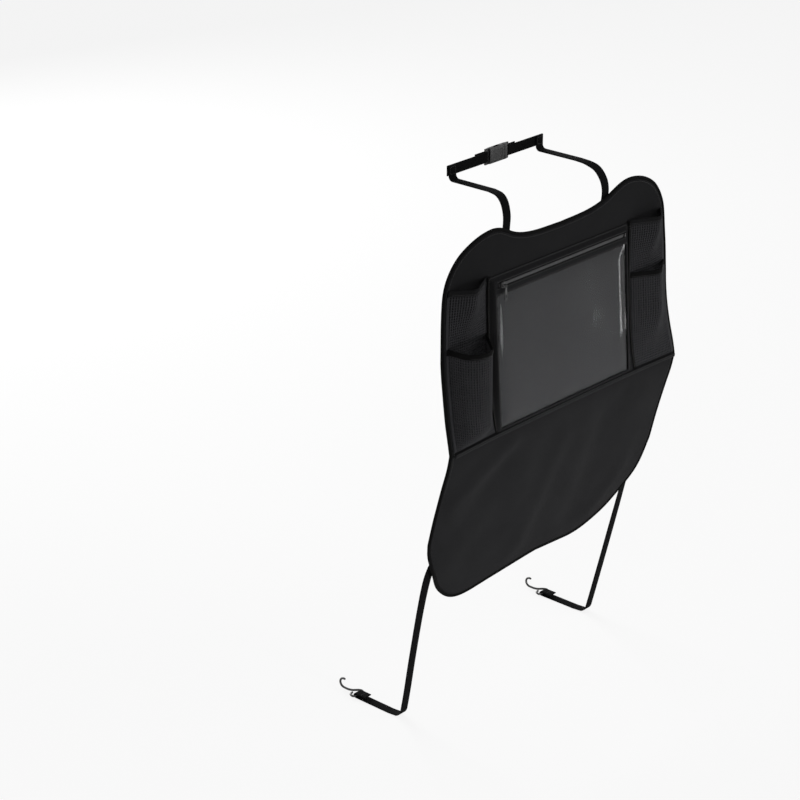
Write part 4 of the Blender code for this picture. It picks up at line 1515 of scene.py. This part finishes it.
@dataclass
class Pockets:
    """The four net pockets: a tall one on each side, with a shorter one in front of it."""

    form: PanelForm
    finishes: Finishes
    least: float = 0.02
    bottom: float = -87.5 * MM
    foot_z: float = -58.0 * MM
    tall_hem: float = 123.0 * MM
    front_hem: float = 47.0 * MM
    tall_form: tuple[float, float, float] = (192.0 * MM, 10.0 * MM, 10.0 * MM)
    deep_form: tuple[float, float, float] = (200.0 * MM, 17.0 * MM, 25.5 * MM)
    shallow_form: tuple[float, float, float] = (192.0 * MM, 9.0 * MM, 12.0 * MM)

    def deep(self, z: float) -> float:
        """Full depth at the mouth, less below, where the panel leans out, and a round foot."""
        centre, depth, radius = self.deep_form
        lean = (self.form.y(centre, self.front_hem) - self.form.y(centre, z)) / (depth + radius)
        t = min(max((self.foot_z - z) / (self.foot_z - self.bottom), 0.0), 1.0)
        return (1 - lean) * (1 - t**1.5) + self.least

    def shallow(self, z: float) -> float:
        """Swells slowly from the seam up."""
        return self.least + (1 - self.least) * ease((z - self.bottom) / (85 * MM))

    def tall(self, z: float) -> float:
        """Open at the mouth, nearly flat behind the front pocket."""
        low = self.least + (0.22 - self.least) * ease((z - self.bottom) / (50 * MM))
        return low + 0.78 * ease((z - 50 * MM) / (62 * MM))

    def build(self) -> None:
        """Builds the pockets of both sides."""
        for side, word, form, swell in ((-1, "left", self.deep_form, self.deep),
                                        (1, "right", self.shallow_form, self.shallow)):
            NetPocket(self.form, self.finishes, self.finishes.hem, f"{word}_tall", side, self.tall_hem, 1,
                      *self.tall_form, self.tall).build()
            NetPocket(self.form, self.finishes, self.finishes.binding, f"{word}_front", side,
                      self.front_hem, 2, *form, swell).build()


@dataclass
class Tapes:
    """The tapes over the pocket edges, and the one along the waist seam."""

    form: PanelForm
    finishes: Finishes
    inner: float = 146.1 * MM
    outer: float = 150.4 * MM
    thickness: float = 0.8 * MM
    low: float = -88.5 * MM
    high: float = 123.0 * MM
    waist: tuple[float, float] = (-95.5 * MM, -90.3 * MM)
    seam_inset: float = 1.3 * MM
    seam_end: float = 2.0 * MM

    def place(self, x: float, z: float) -> Vector:
        """A spot on a tape."""
        return Vector((x, self.form.layer(x, z, 3) - CLEAR / 2, z))

    def build(self) -> None:
        """Builds the tapes with a row of stitches down each."""
        sewing = Strands()
        for side, word in ((-1, "left"), (1, "right")):
            across = sorted(spaced(side * self.inner, side * self.outer, 4))
            tape = cloth_sheet(f"divider_{word}_tape", across, spaced(self.low, self.high, 60), self.place,
                               self.thickness, self.finishes.binding)
            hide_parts(f"divider_tape_{word}")
            middle = side * (self.inner + self.outer) / 2
            low, high = self.low + self.seam_end, self.high - self.seam_end
            sewing.stitches([self.face(middle, z) for z in spaced(low, high, 60)])
        end = self.form.side(self.form.crease_z) - 1.0 * MM
        low, high = self.waist
        tape = cloth_sheet("waist_tape", spaced(-end, end, 120), spaced(low, high, 4), self.place,
                           self.thickness, self.finishes.waist)
        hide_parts("waist_seam_tape")
        half = end - self.seam_end
        for z in (low + self.seam_inset, high - self.seam_inset):
            sewing.stitches([self.face(x, z) for x in spaced(-half, half, 120)])
        sewing.piece("tape_stitches", self.finishes.thread)

    def face(self, x: float, z: float) -> Vector:
        """A spot on a tape's front."""
        return self.place(x, z) + FRONT * self.thickness / 2


def back_patch(
    name: str, form: PanelForm, finish: Finish, spans: Sequence[tuple[float, float, int]], gap: float
) -> bpy.types.Object:
    """Sews a patch on the panel's back.

    Args:
        name: Its name.
        form: The panel.
        finish: Its finish.
        spans: The start, end and number of its grid's places across, and the same up.
        gap: The gap to the panel.

    Returns:
        The patch.
    """
    back = form.thickness / 2 + gap + form.cloth / 2
    across, up = (spaced(*span) for span in spans)

    def place(x: float, z: float) -> Vector:
        """A spot on the patch."""
        return Vector((x, form.y(x, z) + back, z))

    return cloth_sheet(name, across, up, place, form.cloth, finish)


@dataclass
class HeadrestStraps:
    """The two straps over the seat's top, each sewn to the panel's back under a patch.

    The route goes up from the sewn end, in millimetres: the heights where it lies on the panel, a climb
    given as the share of the drift across, Y and Z, and the Y of the level run over the top.
    """

    form: PanelForm
    finishes: Finishes
    width: float = 14.5 * MM
    web: float = 1.6 * MM
    feet: tuple[float, float] = (-109.5 * MM, 96.5 * MM)
    middle_x: float = -11.0 * MM
    half_gap: float = 89.0 * MM
    top_z: float = 218.6 * MM
    cross_y: float = 114.2 * MM
    cross_z: float = 231.5 * MM
    bend: float = 6.0 * MM
    patch_half: float = 12.0 * MM
    patch_span: tuple[float, float] = (112.0 * MM, 148.0 * MM)
    sewn: tuple = (116, 130, 145, 160)
    climb: tuple = ((0.006, 12.5, 178), (0.2, 13.5, 194), (0.5, 20, 208.5), (0.86, 31, 216.2),
                    (1.0, 45, 218.6))
    level: tuple = (53, 62, 78, 93)
    stitch_half: float = 5.0 * MM
    stitch_span: tuple[float, float] = (119.0 * MM, 141.0 * MM)
    cross_stitch_half: float = 4.8 * MM

    def build(self) -> None:
        """Builds both straps."""
        for side, word, foot_x in ((-1, "left", self.feet[0]), (1, "right", self.feet[1])):
            self.strap(side, word, foot_x)

    def strap(self, side: int, word: str, foot_x: float) -> None:
        """Builds one strap and its patch.

        Args:
            side: -1 for the left strap and 1 for the right one.
            word: Left or right.
            foot_x: Where it is sewn to the panel.
        """
        form = self.form
        spans = ((foot_x - self.patch_half, foot_x + self.patch_half, 9), (*self.patch_span, 12))
        patch = back_patch(f"upper_{word}_patch", form, self.finishes.pocket, spans, CLEAR)
        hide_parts(f"upper_strap_patch_{word}")
        top_x = self.middle_x + side * self.half_gap
        back = form.thickness / 2 + form.cloth + 2 * CLEAR + self.web / 2
        points = [(foot_x, form.y(foot_x, z * MM) + back, z * MM) for z in self.sewn]
        points += [(foot_x + (top_x - foot_x) * share, y * MM, z * MM) for share, y, z in self.climb]
        rise_y = self.cross_y - self.web - CLEAR
        bend_y, bend_z = rise_y - self.bend, self.top_z + self.bend

        def bent(sine: float, cosine: float) -> Vector:
            """A spot on the bend up to the cross strap."""
            return Vector((top_x, bend_y + self.bend * sine, bend_z - self.bend * cosine))

        path = smooth_path(points, 7) + [Vector((top_x, y * MM, self.top_z)) for y in self.level]
        path += arc(math.pi / 2, 8, bent)
        path.append(Vector((top_x, rise_y, self.cross_z + self.width / 2)))
        strap = Strands()
        strap.sweep(path, flat_section(self.width, self.web), lambda i: Vector((1, 0, 0)))
        strap = strap.piece(f"headrest_{word}_strap", self.finishes.webbing)
        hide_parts(f"headrest_strap_{word}")
        self.box_stitches(word, foot_x, back + self.web / 2, top_x)

    def box_stitches(self, word: str, foot_x: float, back: float, top_x: float) -> None:
        """Sews a crossed box through strap and patch, and another where the strap meets the cross strap.

        Args:
            word: Left or right.
            foot_x: The middle of the strap at its patch.
            back: How far the strap's back lies behind the middle of the panel.
            top_x: The middle of the strap at its top.
        """
        half = self.stitch_half
        face = self.cross_y - self.web - CLEAR - self.web / 2

        def on_patch(x: float, z: float) -> Vector:
            """A spot on the strap's back, over the patch."""
            return Vector((foot_x + x, self.form.y(foot_x, z) + back, z))

        sewing = Strands()
        low, high = self.stitch_span
        corners = ((-half, low), (half, low), (half, high), (-half, high), (-half, low), (half, high))
        sewing.seam(corners, on_patch, -FRONT, 12)
        low, high = self.cross_z - self.cross_stitch_half, self.cross_z + self.cross_stitch_half
        corners = ((-half, low), (half, low), (half, high), (-half, high), (-half, low))
        sewing.seam(corners, lambda x, z: Vector((top_x + x, face, z)), FRONT, 6)
        sewing.piece(f"upper_{word}_stitches", self.finishes.thread)


@dataclass
class CrossStrap:
    """The strap in front of the headrest posts, closed by a side-release buckle.

    The bars and the buckle are placed from the strap's middle. The insets of the mouth, tongue and prongs
    are how far inside the socket their middles lie. The sunk panels are given by their margin and depth.
    """

    straps: HeadrestStraps
    finishes: Finishes
    turn: float = 2.5 * MM
    tail: float = 18.0 * MM
    width: float = 22.0 * MM
    depth: float = 7.8 * MM
    female: float = 28.0 * MM
    plug: float = 6.5 * MM
    corner_round: float = 2.4 * MM
    rim_round: float = 0.8 * MM
    sunk: tuple[float, float] = (2.4 * MM, 0.5 * MM)
    mouth: tuple[float, float, float] = (24.0 * MM, 4.2 * MM, 16.5 * MM)
    notch: tuple[float, float, float] = (11.0 * MM, 4.2 * MM, 8.0 * MM)
    tongue: tuple[float, float, float] = (16.0 * MM, 3.0 * MM, 4.2 * MM)
    prong: tuple[float, float, float] = (12.5 * MM, 3.0 * MM, 2.6 * MM)
    mouth_inset: float = 11.5 * MM
    tongue_inset: float = 7.5 * MM
    prong_inset: float = 5.25 * MM
    prong_z: float = 6.2 * MM
    arm: float = 8.5 * MM
    bars: tuple[float, float] = (-18.0 * MM, 26.5 * MM)
    buckle_x: float = 2.0 * MM
    slot_length: float = 4.5 * MM
    slot_offset: float = 2.95 * MM

    def build(self) -> None:
        """Builds the strap's two ends and the buckle's halves."""
        straps = self.straps
        middle, z = straps.middle_x, straps.cross_z
        bar_y = straps.cross_y + self.turn
        reach = straps.half_gap + straps.width / 2 + 1.0 * MM
        female_bar, male_bar = (middle + bar for bar in self.bars)
        for toward, word, bar_x in ((1, "left", female_bar), (-1, "right", male_bar)):
            turn_x = toward * self.turn
            path = [Vector((x, straps.cross_y, z)) for x in spaced(middle - toward * reach, bar_x, 24)[:-1]]
            path += arc(math.pi, 14, lambda s, c: Vector((bar_x + turn_x * s, bar_y - self.turn * c, z)))
            path += [Vector((x, bar_y + self.turn, z)) for x in
                     spaced(bar_x - toward * 3 * MM, bar_x - toward * self.tail, 5)]
            strap = Strands()
            strap.sweep(path, flat_section(straps.width, straps.web), lambda i: Vector((0, 0, 1)))
            strap = strap.piece(f"cross_{word}_strap", self.finishes.webbing)
            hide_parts(f"cross_strap_{word}")
        centre = Vector((middle + self.buckle_x, bar_y, z))
        self.female_half(centre, female_bar)
        self.male_half(centre, male_bar)

    def bracket(self, piece: bpy.types.Object, bar_x: float, centre: Vector, toward: int) -> None:
        """Joins the strap bar, carried by two arms, onto a buckle half.

        Args:
            piece: The buckle half.
            bar_x: The bar's place.
            centre: The buckle's middle.
            toward: The direction from the bar to the half.
        """
        frame = block("bracket", (self.arm, 2 * MM, self.width),
                      Vector((bar_x + toward * (self.arm / 2 - 1.3 * MM), centre.y, centre.z)))
        slot = block("bracket_slot", (self.slot_length, 10 * MM, self.straps.width + 1.6 * MM),
                     Vector((bar_x + toward * self.slot_offset, centre.y, centre.z)))
        carve(frame, slot)
        carve(piece, frame, "UNION")

    def shell(self, name: str, length: float, centre: Vector) -> bpy.types.Object:
        """Models the outer body of a buckle half.

        Args:
            name: Its name.
            length: Its length along the strap.
            centre: Its middle.

        Returns:
            The body, rounded along the strap and at its ends.
        """
        piece = block(name, (length, self.depth, self.width), centre)
        round_edges(piece, lambda e: abs(axis_of(e).x) > 0.5, self.corner_round, 5)
        round_edges(piece, lambda e: e.calc_face_angle(0.0) > 1.2, self.rim_round, 3)
        return piece

    def female_half(self, centre: Vector, bar_x: float) -> None:
        """Models the socket with its mouth and side windows.

        Args:
            centre: The buckle's middle.
            bar_x: The place of the strap's bar.
        """
        piece = self.shell("buckle_socket", self.female, centre)
        sink_faces(piece, *self.sunk)
        mouth_x = self.female / 2 - self.mouth_inset
        carve(piece, block("mouth", self.mouth, centre + Vector((mouth_x, 0, 0))))
        for sign in (-1, 1):
            notch = block("notch", self.notch, centre + Vector((1 * MM, 0, sign * self.width / 2)))
            round_edges(notch, lambda e: abs(axis_of(e).y) > 0.5, 2 * MM, 4)
            carve(piece, notch)
        self.bracket(piece, bar_x, centre, 1)
        dress(piece, self.finishes.acetal, Body.PROTECTOR)
        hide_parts("buckle_female")

    def male_half(self, centre: Vector, bar_x: float) -> None:
        """Models the plug with its tongue and two springy prongs.

        Args:
            centre: The buckle's middle.
            bar_x: The place of the strap's bar.
        """
        start = centre.x + self.female / 2 + CLEAR
        piece = self.shell("buckle_plug", self.plug, Vector((start + self.plug / 2, centre.y, centre.z)))
        tongue = block("tongue", self.tongue, Vector((start - self.tongue_inset, centre.y, centre.z)))
        carve(piece, tongue, "UNION")
        for sign in (-1, 1):
            prong_z = centre.z + sign * self.prong_z
            prong = block("prong", self.prong, Vector((start - self.prong_inset, centre.y, prong_z)))
            round_edges(prong, lambda e: abs(axis_of(e).y) > 0.5, 0.9 * MM, 3)
            carve(piece, prong, "UNION")
        self.bracket(piece, bar_x, centre, -1)
        dress(piece, self.finishes.acetal, Body.PROTECTOR)
        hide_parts("buckle_male")


@dataclass
class LowerStraps:
    """Elastic straps from the lower corners, down and forward under the seat, with wire hooks.

    The route goes down from the sewn end, in millimetres: the heights where it lies on the panel, a drop
    given as how far in the strap has come, Y and Z, the Y of the run under the seat, and how far the end
    comes back from the hook's bar.
    """

    form: PanelForm
    finishes: Finishes
    width: float = 14.0 * MM
    web: float = 1.6 * MM
    wire: float = 1.6 * MM
    gap: float = 1.8 * CLEAR
    top_x: float = 216.5 * MM
    end_y: float = 186.0 * MM
    patch_half: float = 10.0 * MM
    patch_span: tuple[float, float] = (-262.0 * MM, -238.0 * MM)
    sewn: tuple = (-240, -250, -262)
    drop: tuple = ((0, 42.5, -278), (0, 51.2, -303), (1, 62.8, -352), (4.5, 79.5, -428), (8, 92, -486),
                   (9.7, 99.6, -519.5))
    bend: float = 10.0 * MM
    bend_angle: float = 1.33
    hook_radius: float = 7.0 * MM
    hook_angle: float = 200.0
    under: tuple = (124, 133, 142, 152, 162, 174)
    back_again: tuple = (6, 12, 18)
    stitch_half: float = 5.0 * MM
    stitch_span: tuple[float, float] = (-257.0 * MM, -241.5 * MM)

    def build(self) -> None:
        """Builds both straps."""
        for side, word in ((-1, "left"), (1, "right")):
            self.strap(side, word)

    def strap(self, side: int, word: str) -> None:
        """Builds one strap with its patch and its hook.

        Args:
            side: -1 for the left strap and 1 for the right one.
            word: Left or right.
        """
        form = self.form
        top_x = side * self.top_x
        spans = ((top_x - self.patch_half, top_x + self.patch_half, 9), (*self.patch_span, 10))
        patch = back_patch(f"lower_{word}_patch", form, self.finishes.pocket, spans, self.gap)
        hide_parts(f"lower_strap_patch_{word}")
        back = form.thickness / 2 + form.cloth + 2 * self.gap + self.web / 2
        points = [(top_x, form.y(top_x, z * MM) + back, z * MM) for z in self.sewn]
        points += [(top_x - side * inward * MM, y * MM, z * MM) for inward, y, z in self.drop]
        bend_x, bend_y, bend_z = points[-1]
        steps = 7
        path = smooth_path(points, steps)
        sewn, held = steps * len(self.sewn), len(path)
        for t in spaced(0, 1, 13)[1:]:
            a = t * self.bend_angle
            path.append(Vector((bend_x, bend_y + self.bend * (1 - math.cos(a)) + 2.4 * MM * t,
                                bend_z - self.bend * math.sin(a) - 2.2 * MM * t)))
        floor_z = path[-1].z - 1.2 * MM
        path += [Vector((bend_x, y * MM, floor_z)) for y in self.under]
        turn = self.wire + CLEAR + self.web / 2
        loop_z = floor_z + turn
        path += arc(math.pi, 12, lambda s, c: Vector((bend_x, self.end_y + turn * s, loop_z - turn * c)))
        path += [Vector((bend_x, self.end_y - d * MM, floor_z + 2 * turn)) for d in self.back_again]
        reach, foot_z = self.width / 2, self.patch_span[0]
        lean = (form.y(top_x + reach, foot_z) - form.y(top_x - reach, foot_z)) / (2 * reach)

        def wide(i: int) -> Vector:
            """The direction of the strap's width, which leans with the panel where it is sewn on."""
            return Vector((1.0, lean * (1 - ease(3.0 * (i - sewn) / held)), 0.0))

        def on_patch(x: float, z: float) -> Vector:
            """A spot on the strap's back, over the patch."""
            return Vector((top_x + x, form.y(top_x, z) + back + self.web / 2 + lean * x, z))

        strap = Strands()
        strap.sweep(path, flat_section(self.width, self.web), wide)
        strap = strap.piece(f"lower_{word}_strap", self.finishes.elastic)
        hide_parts(f"lower_strap_{word}")
        self.hook(word, bend_x, loop_z)
        half, (low, high) = self.stitch_half, self.stitch_span
        top = floor_z + 2 * turn + self.web / 2
        sewing = Strands()
        corners = ((-half, high), (half, high), (half, low), (-half, low), (-half, high), (half, low))
        sewing.seam(corners, on_patch, -FRONT, 10)
        sewing.stitches([Vector((bend_x + x, self.end_y - 10 * MM, top)) for x in spaced(-half, half, 6)],
                        Vector((0, 0, 1)))
        sewing.piece(f"lower_{word}_stitches", self.finishes.thread)

    def hook(self, word: str, x: float, z: float) -> None:
        """Bends the wire hook: a three-sided loop that holds the strap, a shank, and the hook itself.

        Args:
            word: Left or right.
            x: The strap's place across.
            z: The height of the loop.
        """
        bar, shank = self.width / 2 + 3 * MM, self.end_y + 14 * MM
        end = self.end_y
        outline = [(-2.2 * MM, shank - 4.5 * MM), (-bar + 2 * MM, end + 7.5 * MM), (-bar, end + 2.5 * MM),
                   (-bar + 2.2 * MM, end), (0.0, end), (bar - 2.2 * MM, end), (bar, end + 2.5 * MM),
                   (bar - 2 * MM, end + 7.5 * MM), (2.2 * MM, shank - 0.5 * MM), (0.0, shank + 6 * MM),
                   (0.0, shank + 14 * MM)]
        path = [p + Vector((x, 0, z)) for p in smooth_path([(a, b, 0.0) for a, b in outline], 5)]
        tip, radius = shank + 14 * MM, self.hook_radius
        path += arc(math.radians(self.hook_angle), 14,
                    lambda s, c: Vector((x, tip + radius * s, z + radius * (1 - c))))[1:]
        hook = Strands()
        hook.tube(path, self.wire, 12, taper=0.8)
        hook = hook.piece(f"lower_{word}_hook", self.finishes.wire)
        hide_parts(f"lower_hook_{word}")


def white_rays(tree: bpy.types.NodeTree) -> bpy.types.NodeSocket:
    """The rays that see the white background: from the camera, off gloss and through film.

    Args:
        tree: The node tree that asks.

    Returns:
        A socket that is 1 for those rays and 0 for others.
    """
    path = add_node(tree, "LightPath", {})
    direct = add_node(tree, "Math", {0: path.outputs["Is Camera Ray"], 1: path.outputs["Is Glossy Ray"]},
                      operation="MAXIMUM")
    return add_node(tree, "Math", {0: direct.outputs[0], 1: path.outputs["Is Transmission Ray"]},
                    operation="MAXIMUM").outputs[0]


@dataclass(frozen=True)
class Softbox:
    """A large soft lamp that points at the object."""

    name: str
    place: tuple[float, float, float]
    size: tuple[float, float]
    power: float

    def build(self, target: Vector) -> None:
        """Adds the lamp, pointed at the target."""
        lamp = bpy.data.lights.new(self.name, "AREA")
        lamp.shape = "RECTANGLE"
        lamp.size, lamp.size_y = self.size
        lamp.energy = self.power
        hang_lamp(lamp, self.place, target)


@dataclass(frozen=True)
class Snoot:
    """A lamp with a soft-edged cone, which lights the lower panel and little else."""

    name: str
    place: tuple[float, float, float]
    spread: float
    power: float
    radius: float = 0.2

    def build(self, target: Vector) -> None:
        """Adds the lamp, pointed below the target."""
        lamp = bpy.data.lights.new(self.name, "SPOT")
        lamp.spot_size = math.radians(self.spread)
        lamp.spot_blend = 1.0
        lamp.shadow_soft_size = self.radius
        lamp.energy = self.power
        hang_lamp(lamp, self.place, target - Vector((0, 0, 0.2)))


def hang_lamp(lamp: bpy.types.Light, place: Sequence[float], target: Vector) -> None:
    """Puts a lamp in its place, unseen by the camera, pointed at the target."""
    thing = bpy.data.objects.new(lamp.name, lamp)
    thing.location = place
    thing.rotation_euler = (target - Vector(place)).to_track_quat("-Z", "Y").to_euler()
    thing.visible_camera = False
    bpy.context.scene.collection.objects.link(thing)


@dataclass
class Studio:
    """The camera at the photograph's angle, soft lamps and a pale floor."""

    camera_at: tuple[float, float, float] = (-2.3476, -1.9091, 0.9638)
    azimuth: float = 47.8
    elevation: float = 23.2
    lens: float = 108.0
    floor_z: float = -0.7514
    glow: float = 0.86
    surround: float = 0.28
    target: tuple[float, float, float] = (0.0, -0.07, -0.30)
    lamps: tuple[Softbox | Snoot, ...] = (
        Softbox("key", (1.5, -2.8, 1.5), (1.8, 1.8), 19.0),
        Softbox("fill", (-3.2, -1.0, 0.9), (2.0, 2.0), 16.0),
        Snoot("low", (-0.3, -2.0, -0.45), 30.0, 115.0),
        Softbox("right strip", (1.34, -0.95, -0.25), (0.12, 0.9), 1.8),
        Softbox("left strip", (0.75, -1.28, -0.25), (0.10, 0.9), 1.2),
        Softbox("back", (0.9, 2.8, 0.8), (1.6, 1.6), 60.0),
    )

    def build(self) -> None:
        """Builds the scene round the object."""
        scene = bpy.context.scene
        camera = bpy.data.cameras.new("camera")
        camera.lens = self.lens
        camera.sensor_width = 36.0
        camera.clip_end = 200.0
        thing = bpy.data.objects.new("camera", camera)
        thing.location = self.camera_at
        a, e = math.radians(self.azimuth), math.radians(self.elevation)
        look = Vector((math.sin(a) * math.cos(e), math.cos(a) * math.cos(e), -math.sin(e)))
        thing.rotation_euler = look.to_track_quat("-Z", "Y").to_euler()
        scene.collection.objects.link(thing)
        scene.camera = thing
        for lamp in self.lamps:
            lamp.build(Vector(self.target))
        self.floor()
        self.sky()
        scene.view_settings.view_transform = "Standard"

    def floor(self) -> None:
        """Adds the pale floor, which looks white and keeps a soft shadow."""
        bpy.ops.object.select_all(action="DESELECT")
        bpy.ops.mesh.primitive_plane_add(size=60.0, location=(0.0, 0.0, self.floor_z))
        floor = bpy.context.object
        floor.name = "floor"
        material, tree, shader = fresh_material("studio floor, matt paint")
        feed(tree, shader, {"Base Color": linear("F4F4F4"), "Roughness": 0.9})
        glow = add_node(tree, "Emission", {"Color": (1, 1, 1, 1), "Strength": 1.0})
        seen = add_node(tree, "Math", {0: white_rays(tree), 1: self.glow}, operation="MULTIPLY")
        mix = add_node(tree, "MixShader", {0: seen.outputs[0], 1: shader.outputs[0], 2: glow.outputs[0]})
        tree.links.new(mix.outputs[0], tree.nodes["Material Output"].inputs["Surface"])
        floor.data.materials.append(material)

    def sky(self) -> None:
        """Makes the world a soft white surround."""
        world = bpy.data.worlds.new("surround")
        bpy.context.scene.world = world
        world.use_nodes = True
        tree = world.node_tree
        soft = tree.nodes["Background"]
        feed(tree, soft, {"Color": (1, 1, 1, 1), "Strength": self.surround})
        white = add_node(tree, "Background", {"Color": (1, 1, 1, 1), "Strength": 1.0})
        mix = add_node(tree, "MixShader", {0: white_rays(tree), 1: soft.outputs[0], 2: white.outputs[0]})
        tree.links.new(mix.outputs[0], tree.nodes["World Output"].inputs["Surface"])


def main() -> None:
    """Loads the frame and builds every assembly in order."""
    logging.basicConfig(level=logging.INFO, format="%(message)s")
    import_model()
    finishes = Finishes()
    form = PanelForm()
    pocket = TabletPocket(form, finishes)
    straps = HeadrestStraps(form, finishes)
    Studio().build()
    for assembly in (
        Panel(form, finishes), pocket, Zip(pocket, finishes), Pockets(form, finishes), Tapes(form, finishes),
        straps, CrossStrap(straps, finishes), LowerStraps(form, finishes),
    ):
        before = set(bpy.data.objects)
        assembly.build()
        for piece in sorted(set(bpy.data.objects) - before, key=lambda thing: thing.name):
            LOG.info("%s: %s, %d faces", type(assembly).__name__, piece.name, len(piece.data.polygons))


if __name__ == "__main__":
    main()
